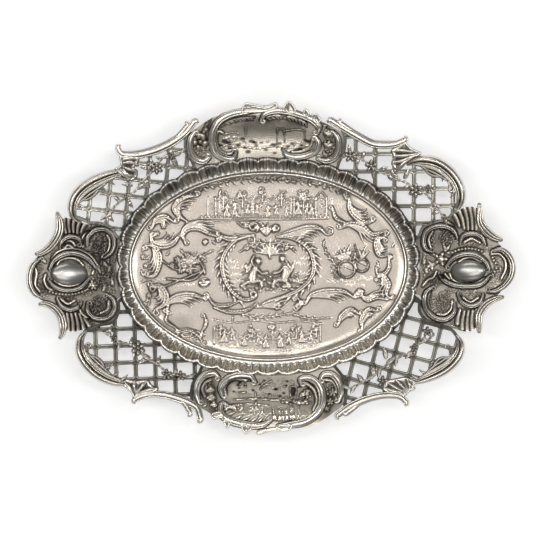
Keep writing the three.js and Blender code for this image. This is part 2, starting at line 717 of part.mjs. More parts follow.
const bands = {
  end_wing_left_back: [
    [-143, 37.2, 0.9], [-141.6, 31, 2], [-141.6, 24, 2.4], [-144.7, 17.5, 2.3], [-149.6, 12, 2],
    [-154.5, 9.2, 1.5], [-158, 8.7, 0.9],
  ],
  end_wing_left_front: [
    [-155.6, -25, 0.9], [-150, -25, 1.7], [-144.6, -28, 2.1], [-140.6, -33, 2.3], [-139, -39.5, 2.3],
    [-139.6, -45, 1.6], [-141.6, -48.4, 0.8],
  ],
  end_wing_right_back: [
    [141.2, 43.2, 0.9], [141.5, 37, 1.5], [142.2, 30, 2.2], [146.2, 24, 2.4], [151.5, 20, 2],
    [157, 17.8, 1],
  ],
  end_wing_right_front: [
    [158, -20, 1], [151.5, -21.8, 1.7], [145.5, -25.5, 2.1], [141.4, -31.5, 2.2], [140.8, -38, 1.9],
    [141.2, -44.6, 0.8],
  ],
  end_lobe_left: [
    [-154, 6.2, 1], [-159, 1.8, 1.9], [-161.6, -5, 2.1], [-161.4, -12, 2.1], [-158, -18.3, 1.8],
    [-153.8, -20.8, 1],
  ],
  end_lobe_right: [
    [150.5, 11, 1], [155.5, 11.8, 1.8], [160.5, 8.3, 2.2], [163.6, 1.5, 2.2], [162.8, -6, 2.2],
    [158.5, -12.3, 2], [152.5, -16, 1.5], [147.5, -16.6, 0.9],
  ],
  boss_frame_left_back: [
    [-148, -1, 0.9], [-145, 4.5, 1.5], [-138, 8.6, 1.9], [-130, 9.2, 1.9], [-122.5, 5.6, 1.6],
    [-117.5, -0.5, 0.9],
  ],
  boss_frame_left_front: [
    [-149, -8.8, 0.8], [-144.5, -13.3, 1.4], [-136, -15.8, 1.5], [-127.5, -13.8, 1.4],
    [-121.3, -7.3, 0.8],
  ],
  boss_frame_right_back: [
    [119.5, 0.5, 0.9], [124, 5.8, 1.5], [131, 8.6, 1.7], [139, 8, 1.7], [145.5, 3.6, 1.5],
    [148, -1.5, 0.9],
  ],
  boss_frame_right_front: [
    [114.5, -4.5, 0.9], [118, -9, 1.4], [125, -12.3, 1.6], [134, -13, 1.6], [142.5, -11.6, 1.5],
    [148.5, -6, 0.9],
  ],
  end_curl_left_back: [
    [-141, 13.2, 0.8], [-139.3, 18, 1.4], [-134, 20.6, 1.6], [-128.7, 19, 1.4], [-127, 15.4, 0.8],
  ],
  end_curl_left_front: [
    [-143, -21.5, 0.8], [-140, -26.5, 1.4], [-134.5, -28.8, 1.5], [-129.5, -27.4, 1.4],
    [-127, -24.3, 0.8],
  ],
  end_curl_right_back: [
    [128.7, 15.8, 0.8], [130.5, 20.8, 1.4], [136.5, 22.6, 1.6], [143, 20.2, 1.4], [145.3, 15.4, 0.8],
  ],
  end_curl_right_front: [
    [127, -18.3, 0.8], [129.6, -23.6, 1.4], [136, -26.4, 1.6], [141.8, -23.8, 1.4], [144, -18.8, 0.8],
  ],
  end_loop_left_back: [
    [-123, 15, 0.9], [-122.5, 20.5, 1.5], [-117.5, 24.9, 1.6], [-111, 25.4, 1.5], [-106.3, 21.6, 1.5],
    [-105, 15.5, 1.4], [-107, 9.8, 1.2], [-111, 6.6, 0.8],
  ],
  end_loop_left_front: [
    [-110, -18.5, 0.9], [-105.6, -22, 1.5], [-104.7, -28, 1.5], [-107.8, -33.3, 1.5],
    [-113.5, -35.2, 1.5],
    [-119.5, -33.6, 1.5], [-122.7, -29.5, 1.3], [-122.7, -24.5, 0.8],
  ],
  end_loop_right_back: [
    [109.5, 10.3, 0.9], [105.6, 12.5, 1.5], [104.2, 18, 1.7], [106.2, 24, 1.8], [111.5, 27.2, 1.7],
    [118, 27.5, 1.7], [123.7, 25, 1.5], [126.5, 19.5, 0.9],
  ],
  end_loop_right_front: [
    [110, -13.5, 0.9], [105.8, -17.5, 1.5], [104.7, -24, 1.7], [107, -30.2, 1.8], [112.3, -34.6, 1.8],
    [119, -35.2, 1.7], [124.3, -31, 1.5], [125, -25, 0.9],
  ],
  back_frame_left: [
    [-22.5, 77.8, 0.9], [-24.5, 73.7, 1.5], [-31, 74, 2], [-36.3, 77.6, 2.1],
    [-38.6, 84.5, 2.1], [-37.6, 92.5, 2],
    [-33.5, 98.8, 2], [-26, 103, 2], [-16, 104.8, 1.7], [-8.5, 105.2, 0.9],
  ],
  back_frame_right: [
    [-5.6, 99, 0.9], [-3, 103, 1.4], [3, 105.2, 1.8], [12, 104.9, 2], [21.5, 102.3, 1.9],
    [29.5, 98.5, 1.8],
    [33.3, 94, 1.6], [32.5, 90.3, 0.9],
  ],
  back_frame_foot: [
    [31.3, 87.3, 0.9], [33, 83.5, 1.5], [31.3, 78.8, 1.7], [25.5, 75.6, 1.8], [17.5, 74.6, 1.7],
    [11, 76.3, 1.4],
    [9.3, 79.3, 0.8],
  ],
  front_frame_top: [
    [-9.8, -77.5, 0.9], [-13, -74, 1.6], [-21, -73.3, 1.9], [-29, -76, 1.9],
    [-32.8, -81.5, 1.7], [-31.6, -87.3, 0.9],
  ],
  front_frame_left: [
    [-28.6, -92.8, 0.9], [-31.7, -92, 1.2], [-33, -96.3, 1.6], [-30.5, -101, 1.9], [-24, -104.3, 2],
    [-14, -106.4, 2], [-5, -106.6, 1.6], [0.6, -103.4, 0.9],
  ],
  front_frame_right: [
    [21.5, -79.4, 0.9], [20.7, -76, 1.3], [26, -74.9, 1.8], [32, -78.2, 2], [35.3, -84.5, 2.1],
    [35.2, -92.5, 2.1],
    [31.3, -99.3, 2.1], [24.3, -104, 2], [14, -106.2, 1.8], [6, -106.9, 0.9],
  ],
  side_loop_back_left: [
    [-50.5, 91, 0.9], [-53.4, 86, 1.5], [-53.3, 79, 1.8], [-50, 73.2, 2], [-44.5, 71.7, 2],
    [-40.7, 74, 1],
  ],
  side_loop_back_right: [
    [33, 73, 0.9], [38.5, 71.8, 1.8], [44, 74.3, 1.9], [46.7, 80.5, 1.7], [46, 87, 1.4], [43, 91, 0.8],
  ],
  side_loop_front_left: [
    [-47.5, -91.5, 0.8], [-49.2, -85, 1.6], [-48, -78, 1.8], [-43.5, -73, 2], [-37.5, -72, 1.7],
    [-34.4, -74.3, 0.9],
  ],
  side_loop_front_right: [
    [34.3, -76, 0.9], [36.6, -72.8, 1.6], [41.8, -72.7, 1.9], [46.3, -77, 1.9],
    [48.2, -83.5, 1.7], [46.8, -90.5, 0.8],
  ],
};

// Leaves that stand out from the frames of the side cartouches and make the uneven edge of the tray.
const crestLeaves = {
  back_frame_left: [
    [
      [-20, 103.5], [-18.5, 106.8], [-16.8, 110.3], [-10, 109.9], [-3, 108.6], [4.5, 110.7], [5.6, 107.6],
      [0, 104.5], [-10, 103.5],
    ],
  ],
  back_frame_right: [
    [[8, 104.5], [8.8, 107], [12.5, 111.9], [16, 109.4], [18, 105.5], [17, 103]],
    [[21.8, 101.8], [22.4, 104], [24, 107], [27, 103], [26, 100.2]],
    [[28, 98.8], [28.3, 102.5], [31, 103.6], [35, 98.2], [32, 96]],
  ],
  front_frame_left: [
    [[-33.5, -96.5], [-39.5, -98.7], [-38, -102.6], [-34.5, -102], [-30, -101]],
    [[-31, -101.5], [-31, -105], [-28, -108.8], [-26.5, -106.3], [-25, -103.5]],
    [[-20.5, -105], [-19, -108.4], [-16, -112.5], [-12.3, -109.6], [-11, -106]],
  ],
  front_frame_right: [
    [
      [4, -107.6], [-2, -108.6], [-8.6, -110.4], [-8, -112.8], [-3, -111.8], [1, -110.4], [14, -109.8],
      [15.5, -106], [8, -105.8],
    ],
  ],
};

// The chased relief of the well: scrolls by their half width and line, and the masses of its figures.
const wellScrolls = [
  {
    half: 1.3,
    line: [[-57.7, 16.4], [-58.5, 21.4], [-55.2, 25.4], [-48.6, 26.2], [-41.2, 23], [-33.9, 20.5]],
  },
  { half: 1.4, line: [[-33, 24], [-24, 21.5], [-12.6, 22.8], [-8, 26]] },
  { half: 1.4, line: [[3, 25], [8, 23.5], [16.4, 24.2], [27.4, 27], [38.4, 24.2]] },
  { half: 1.4, line: [[48.1, 26.3], [54.6, 29.5], [62.8, 27.9], [70.2, 22.2], [78.4, 24.6]] },
  { half: 1.4, line: [[-69.1, -29.5], [-68.3, -23.7], [-62.6, -19.6], [-51.9, -18.8], [-43.7, -21.3]] },
  { half: 1.2, line: [[-40.5, -19.6], [-37.2, -24.3], [-29, -25], [-21.2, -21.8]] },
  { half: 1.4, line: [[-37.4, -26.3], [-24.5, -27.6], [-14.1, -26.3], [-9, -21.8]] },
  { half: 1.3, line: [[-8.3, -26.9], [-5.1, -23.1], [4.6, -20.5], [14.3, -16.6]] },
  { half: 1.4, line: [[22.7, -23.1], [26, -18.5], [33.7, -16], [51, -16.6], [56.4, -20]] },
  { half: 1.3, line: [[-79.8, 26.2], [-76.5, 32.8], [-70.8, 34.5], [-64.2, 30.4]] },
  { half: 1.3, line: [[-80.6, 21.4], [-79, 16.4], [-72.4, 14], [-65, 16.4], [-60.9, 22.2]] },
  { half: 1.4, line: [[-83.9, 14.8], [-79.8, 14.8], [-74.9, 9.1], [-74.9, 0.9], [-78.2, -5.7], [-83, -6.5]] },
  { half: 1.4, line: [[-80.6, -13.1], [-74, -13.1], [-70, -18.8], [-71.6, -25.4], [-77.4, -28.7]] },
  {
    half: 1.2,
    line: [[-55.2, 30.4], [-61.7, 34.5], [-65, 39.4], [-61.7, 44.3], [-55.2, 47.5], [-48.6, 48.4]],
  },
  { half: 1.1, line: [[-69.1, -31.1], [-70, -36], [-62.6, -41.7]] },
  { half: 1.1, line: [[-43.7, -32.7], [-42.9, -37.7], [-46.2, -45]] },
  { half: 1.1, line: [[-61.7, -44.2], [-55.2, -42.6], [-47.8, -46.7], [-45.4, -51.6]] },
  { half: 1.3, line: [[78.4, 19.7], [73.5, 19.7], [71.9, 14.8], [74.3, 8.2], [81.7, 8.2]] },
  { half: 1.2, line: [[80.9, 6.6], [80.9, 0], [78.4, -4.1], [73.5, -4.9], [71.9, -0.8]] },
  { half: 1.2, line: [[71.9, -7.4], [76.7, -5.7], [80.9, -11.4], [79.2, -18], [82.5, -21.3]] },
  { half: 1.3, line: [[53.8, 46.7], [54.6, 38.5], [59.6, 32.8], [66.1, 30.4], [70.2, 31.2]] },
  { half: 1.2, line: [[43.1, 40.2], [44.8, 33.6], [51.4, 30.4]] },
  { half: 1.2, line: [[46.5, -39.3], [48.9, -32.7], [55.4, -28.7], [61.2, -31.9]] },
  { half: 1.2, line: [[62.8, -42.6], [62, -36], [66.9, -28.7], [73.5, -29.5]] },
];
const wellOval = { middle: [-0.9, 0.2], halves: [32, 20.5], half: 1.5, arcs: [[100, 250], [80, -70]] };
const OVAL_ARC_POINTS = 9;
const wellFigures = [
  { at: [-7.9, 2.8], halves: [2.3, 2.3], height: 1.3 },
  { at: [-11, -4.5], halves: [3.8, 5], height: 1.2 },
  { at: [-16, -11.5], halves: [4.5, 2.2], height: 1 },
  { at: [9.3, 4.7], halves: [2.3, 2.3], height: 1.3 },
  { at: [10.3, -3.3], halves: [3.8, 5], height: 1.2 },
  { at: [13.5, -11], halves: [4.5, 2.2], height: 1 },
  { at: [0, 14], halves: [7, 4], height: 0.9 },
  { at: [-55, 0], halves: [9, 6], height: 1 },
  { at: [52.2, -2], halves: [6.2, 6.2], height: 1.1 },
  { at: [62.6, 0.7], halves: [4.8, 4.8], height: 1 },
];

// Half widths that are full in the middle of a line and fine at its ends.
function tapered(line, half) {
  const fine = (t) => RELIEF_ENDS + (1 - RELIEF_ENDS) * Math.sin(Math.PI * t) ** 0.7;
  return line.map((point, i) => [...point, half * fine(i / (line.length - 1))]);
}

function ovalArc([start, end]) {
  const turns = [start, end].map(THREE.MathUtils.degToRad);
  const arc = new THREE.EllipseCurve(...wellOval.middle, ...wellOval.halves, ...turns, end < start);
  return arc.getPoints(OVAL_ARC_POINTS - 1).map((point) => [point.x, point.y]);
}

// The floor with its scrolls and figures standing up from it.
function wellPlate() {
  const lines = [
    ...wellScrolls,
    ...wellOval.arcs.map((arc) => ({ half: wellOval.half, line: ovalArc(arc) })),
  ];
  return wasm.Manifold.union([
    wellDisc(),
    ...lines.map(({ half, line }) => scroll(tapered(line, half), RIDGE, 0, wellFloor)),
    ...wellFigures.map(({ at, halves, height }) => dome(at, halves, height, FIGURE_SIDES, 0, wellFloor)),
  ]);
}

// Assembly

const tray = new THREE.Group();
const lipCutter = prism(ovalOutline(WALL_RUN + SEAM), 0, 2 * LIP_HEIGHT);
const placed = [{ cutter: lipCutter, box: lipCutter.boundingBox() }];

function add(name, solid, color, roughness) {
  const material = new THREE.MeshStandardMaterial({ color, roughness, metalness: 1 });
  const mesh = new THREE.Mesh(geometryOf(solid), material);
  mesh.name = name;
  tray.add(mesh);
}

function boxesMeet(one, other) {
  return [0, 1, 2].every((axis) => one.min[axis] < other.max[axis] && other.min[axis] < one.max[axis]);
}

// Seats an ornament beside those already placed: it gives way to them by the seam.
function seat(name, make, color, roughness) {
  let solid = make(0);
  const box = solid.boundingBox();
  for (const other of placed) {
    if (boxesMeet(box, other.box)) {
      solid = solid.subtract(other.cutter);
    }
  }
  solid = largestBody(solid);
  add(name, solid, color, roughness);
  const cutter = make(SEAM);
  placed.push({ cutter, box: cutter.boundingBox() });
}

const leafed = (line, leaves) => (grow) =>
  wasm.Manifold.union([
    scroll(line, ROUND, grow),
    ...leaves.map((outline) => leaf(outline, SHELL_GAUGE, grow)),
  ]);
const joined = (lines, section) => (grow) =>
  wasm.Manifold.union(lines.map((line, i) => scroll(line, i === 0 ? section : ROUND, grow)));

add('well_plate', wellPlate(), WELL_SILVER, 0.38);
add('well_thread', wellThread(), BRIGHT_SILVER, 0.22);
add('fluted_wall', flutedWall(), WALL_SILVER, 0.34);
for (const [corner, panel] of Object.entries(panels)) {
  add(`trellis_${corner}`, trellisPanel(panel), TRELLIS_SILVER, 0.4);
}
for (const side of Object.keys(plateOutlines)) {
  add(`plate_${side}`, dished(plateFlat(side), -SHEET_GAUGE, PLATE_FACET), PLATE_SILVER, 0.5);
}
for (const [side, { at, halves }] of Object.entries(bosses)) {
  seat(`boss_${side}`, (grow) => dome(at, halves, BOSS_HEIGHT, BOSS_SIDES, grow), BOSS_SILVER, 0.18);
}
for (const [corner, lines] of Object.entries(rimScrolls)) {
  seat(`rim_scroll_${corner}`, joined(lines, CHANNEL), SCROLL_SILVER, 0.3);
}
for (const [corner, lines] of Object.entries(cornerScrolls)) {
  seat(`corner_scroll_${corner}`, joined(lines, CHANNEL), SCROLL_SILVER, 0.3);
}
for (const [name, line] of Object.entries(bands)) {
  seat(name, leafed(line, crestLeaves[name] ?? []), SCROLL_SILVER, 0.3);
}
for (const [corner, outline] of Object.entries(shells)) {
  seat(`shell_${corner}`, (grow) => leaf(outline, SHELL_GAUGE, grow), LEAF_SILVER, 0.4);
}
for (const [corner, spray] of Object.entries(vines)) {
  seat(`vine_${corner}`, (grow) => vine(spray, grow), LEAF_SILVER, 0.4);
}

// The middle of the finished outline goes over the origin.
const middle = new THREE.Box3().setFromObject(tray).getCenter(new THREE.Vector3());
for (const mesh of tray.children) {
  mesh.geometry.translate(-middle.x, -middle.y, 0);
}

export default tray;
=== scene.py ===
"""Looks of an oval silver tray with a chased well, a fluted wall and a pierced rococo border.

The drawing is in millimetres and in plan. Each piece is made on the tray's own dished surface and stands for
the CAD nodes that it names.
"""
import math

import bpy
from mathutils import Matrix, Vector
import numpy as np


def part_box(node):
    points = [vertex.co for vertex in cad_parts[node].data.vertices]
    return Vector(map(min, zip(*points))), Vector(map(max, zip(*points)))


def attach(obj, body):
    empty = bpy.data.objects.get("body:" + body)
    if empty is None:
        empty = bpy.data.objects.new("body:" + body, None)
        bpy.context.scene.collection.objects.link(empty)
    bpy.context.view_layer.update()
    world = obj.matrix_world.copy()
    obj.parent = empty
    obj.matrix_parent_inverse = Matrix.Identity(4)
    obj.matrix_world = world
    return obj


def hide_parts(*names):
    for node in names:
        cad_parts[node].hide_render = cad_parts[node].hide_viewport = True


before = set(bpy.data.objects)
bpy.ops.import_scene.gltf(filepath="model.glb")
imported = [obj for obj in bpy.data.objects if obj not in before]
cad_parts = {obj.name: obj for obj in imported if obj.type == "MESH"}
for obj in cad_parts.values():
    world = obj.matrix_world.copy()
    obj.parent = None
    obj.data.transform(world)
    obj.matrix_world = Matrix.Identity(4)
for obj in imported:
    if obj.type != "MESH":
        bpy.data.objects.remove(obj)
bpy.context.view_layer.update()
SCENE = bpy.context.scene
MM = 0.001

# The drawing: outlines as x, y and lines as x, y, half width

PLATES = {
    "back": [
        (-46, 60), (-52, 73), (-55.5, 80), (-55, 88), (-50, 93), (-42, 98.5), (-35, 102.5), (-25, 105.5),
        (-16, 107.5), (-8, 108.5), (0, 107.8), (8, 106.8), (13, 108.5), (19, 105), (28, 101.5), (34, 98.5),
        (43, 94), (49, 90), (49.5, 80), (46, 71), (40, 60),
    ],
    "front": [
        (-42, -60), (-46, -71), (-51, -80), (-51, -90), (-49, -93), (-40, -98.5), (-33, -103), (-26, -107),
        (-17, -109.5), (-8, -110.3), (2, -109.3), (14, -108.8), (28, -107.2), (36, -103), (43, -98),
        (49, -93), (50.5, -83), (48, -74), (42, -66), (40, -60),
    ],
    "left": [
        (-94, 16), (-104, 20), (-108, 26), (-115, 28.5), (-124, 29), (-131, 31.5), (-138.5, 33), (-141.5, 28),
        (-142.5, 22), (-146, 16), (-153, 10), (-158.5, 4), (-161.8, -4), (-161.6, -12), (-157, -20),
        (-150, -24), (-144, -28), (-140, -33), (-138.5, -41), (-133, -43.5), (-125, -42), (-114, -38),
        (-106, -36), (-103, -29), (-102.8, -22), (-94, -16),
    ],
    "right": [
        (94, 16), (101.5, 20), (104.5, 26), (112, 29.5), (120, 31), (125, 36), (131, 40), (137, 40.5),
        (141.5, 38), (142, 30), (147, 23), (152.5, 18), (157, 12.5), (161.5, 8), (164.5, 1), (163.4, -6),
        (158.5, -13), (152.5, -20), (146, -25.5), (141.5, -32), (139.5, -40), (134, -43.5), (126, -42),
        (117, -38.5), (108, -36), (102.5, -30), (102, -20), (94, -16),
    ],
}

PANELS = {
    "back_left": {
        "outline": [
            (-90, 14), (-103, 19), (-118, 27), (-127, 31.5), (-132.5, 34), (-133.5, 40), (-131.5, 47),
            (-126.5, 53), (-119, 57.5), (-110, 61.5), (-101, 65.5), (-98.5, 71), (-96, 75.4), (-88, 76),
            (-79, 78.3), (-70, 81.8), (-62, 86.5), (-54, 91), (-46, 88), (-40, 60), (-66, 36),
        ],
        "cell": (-102.5, 43),
        "pitch": (12.4, 11.4),
        "turn": -6,
    },
    "back_right": {
        "outline": [
            (90, 14), (103, 20), (118, 28), (125, 36), (127, 39), (129, 45), (128.7, 52), (125.5, 58.8),
            (120, 65), (113, 70), (104, 72), (97, 74.5), (93, 80.5), (88, 83.5), (77, 82.4), (69, 83.2),
            (62, 86.5), (54, 90.5), (44, 90), (40, 60), (66, 36),
        ],
        "cell": (104, 47),
        "pitch": (13.1, 11.7),
        "turn": 0,
    },
    "front_left": {
        "outline": [
            (-90, -14), (-101, -21), (-112, -34), (-124, -41), (-127.8, -49), (-127.8, -57), (-124.3, -64.5),
            (-118, -71), (-110, -75.6), (-102, -78), (-95, -81.5), (-90, -86), (-84, -86.4), (-78, -85.6),
            (-70, -86.2), (-62, -88.4), (-54, -92), (-46, -90), (-40, -60), (-66, -36),
        ],
        "cell": (-97.5, -47.4),
        "pitch": (13.2, 11.4),
        "turn": 2,
    },
    "front_right": {
        "outline": [
            (90, -14), (101, -21), (112, -32), (123, -41), (127, -46), (129, -52), (127.8, -58.5),
            (123.8, -64.5), (118, -69.5), (110.5, -73.5), (102, -76.8), (96, -80), (91, -85), (83, -86.4),
            (75, -86.6), (67, -88.4), (59, -91.6), (52, -94), (46, -90), (40, -60), (66, -36),
        ],
        "cell": (92.5, -53.2),
        "pitch": (12.8, 12.5),
        "turn": -15,
    },
}

CORNER_SCROLLS = {
    "back_left": [
        [(-126.5, 30.3, 1), (-131, 32.5, 1.8), (-133, 38, 2.9), (-131.3, 46, 3.3), (-126.8, 52, 3.4),
         (-120, 57, 3.4), (-113, 60.3, 3.2), (-106, 62.8, 2.6), (-99.5, 64.5, 1.4)],
        [(-129.2, 41, 1.2), (-128, 46, 1.2), (-124.5, 51, 1.6), (-117.5, 53.6, 1.6), (-111, 51.8, 0.9)],
    ],
    "back_right": [
        [(92.5, 69, 1), (98, 71, 2.4), (105, 71.5, 3.5), (113, 69.6, 3.7), (120, 65, 3.6),
         (125.5, 58.5, 3.4), (128.5, 51.5, 3.3), (128.8, 45, 2.8), (126.5, 39.2, 1.4)],
        [(110.5, 63, 0.9), (116, 62.6, 1.5), (120.3, 59, 1.7), (123.5, 53, 1.7)],
    ],
    "front_left": [
        [(-123.5, -43, 1), (-127.3, -49, 2.4), (-127.3, -57, 3.2), (-124, -64, 3.4), (-118, -70.5, 3.4),
         (-111, -75, 3), (-104, -77.6, 2.5), (-97, -78.8, 1.3)],
        [(-123.2, -53, 1.2), (-122.6, -60, 1.8), (-117.3, -65.8, 1.9), (-110, -67.6, 1.4),
         (-106.5, -66, 0.9)],
    ],
    "front_right": [
        [(125.8, -46, 1), (128.6, -51.5, 2.4), (127.8, -58, 3.1), (124, -64, 3.3), (118, -69.2, 3.2),
         (111, -73, 3), (103.5, -76, 2.2), (97.5, -78, 1.1)],
        [(121, -53.5, 0.9), (122.3, -59, 1.5), (119.5, -64.3, 1.7), (114.5, -67.3, 1.3), (110, -66.5, 0.9)],
    ],
}

RIM_SCROLLS = {
    "back_left": [
        [(-102, 79.6, 0.8), (-100, 76.6, 1.6), (-95, 75.5, 2.3), (-88, 75.8, 2.6), (-79, 78, 2.7),
         (-70, 81.6, 2.7), (-62, 86.3, 2.5), (-56, 91, 1.7), (-50.7, 97.8, 0.9)],
        [(-63, 86.5, 1.6), (-59, 90.8, 1.6), (-55.4, 95.2, 0.7)],
    ],
    "back_right": [
        [(41.5, 98.8, 0.9), (48.5, 94.3, 2), (56, 90, 2.5), (63, 86, 2.5), (69.5, 83, 2.4), (77, 82.2, 2.5),
         (85, 82.9, 2), (91, 85.2, 0.7)],
        [(47.5, 97, 0.8), (54, 92.6, 1.6), (61, 87.6, 1.6)],
    ],
    "front_left": [
        [(-90.6, -89, 0.7), (-86, -87, 1.5), (-79, -85.7, 2.1), (-71, -86.1, 2.3), (-63, -88.1, 2.4),
         (-54, -91.5, 2.3), (-48.5, -95.5, 1.9), (-46.3, -102.3, 1)],
        [(-62, -88.5, 1.6), (-57, -92.4, 1.5), (-53.4, -98.2, 0.8)],
    ],
    "front_right": [
        [(92, -90.8, 0.6), (88.5, -87.6, 1.5), (82, -86.3, 2), (75, -86.6, 2.1), (67, -88.4, 2.3),
         (59, -91.5, 2.4), (52, -95.3, 2.2), (46, -99.7, 0.9)],
        [(62, -90, 1.4), (57, -94.6, 1.3), (51.5, -98.7, 0.8)],
    ],
}

SHELLS = {
    "back_left": [
        (-101.3, 75), (-100.8, 68.3), (-104.5, 66.3), (-99, 61), (-94, 57.8), (-89.5, 60), (-88.8, 64.5),
        (-91, 67), (-88.6, 70), (-88, 74),
    ],
    "back_right": [
        (91.5, 84.8), (94.8, 80.8), (98, 78.9), (102.3, 77), (101, 75), (97, 73.5), (93, 70.5), (89, 66.5),
        (84.5, 65.8), (82, 70), (83.3, 74.5), (81.5, 78.5), (86, 81),
    ],
    "front_left": [
        (-98.5, -80.2), (-94, -83.4), (-91, -88.2), (-86, -86.5), (-78, -84.5), (-74.5, -82), (-79, -79.5),
        (-82, -76), (-90, -76.4), (-97, -75.6),
    ],
    "front_right": [
        (100, -77.5), (97.3, -80), (98.3, -82), (94, -84.3), (91.3, -87), (86, -84.7), (78, -84), (76, -81),
        (79, -76.5), (85, -75), (92, -74),
    ],
}

VINES = {
    "back_left": [
        [(-110, 33.5), (-104, 41.3), (-97, 46.5), (-90, 52), (-85, 58.5), (-80, 63.5), (-75.5, 69),
         (-72, 74)],
        [(-72, 74), (-65, 75.3), (-57, 79)],
    ],
    "back_right": [
        [(51.5, 76), (58, 74.5), (63, 72), (68.5, 68.5), (74, 64.5), (80, 62), (86, 59), (92, 57),
         (98, 52.3), (104.5, 50), (109, 45), (114, 38), (118.5, 33)],
        [(98, 52.3), (106.6, 53.4)],
    ],
    "front_left": [
        [(-110, -43), (-106, -47.5), (-100, -50.5), (-94, -52.3), (-88.5, -54.8), (-85, -60), (-79.5, -63.5),
         (-74, -67), (-68, -71.3), (-60, -73.3), (-53, -74.5)],
    ],
    "front_right": [
        [(103.5, -43.5), (108, -42.6), (110.5, -45.5), (105.5, -49.5), (100, -52.3), (96, -57), (90, -59.6),
         (84.5, -62.5), (79.5, -65.8), (74, -69), (69.5, -74), (63, -77.5), (57.5, -80.6), (53.5, -82)],
    ],
}

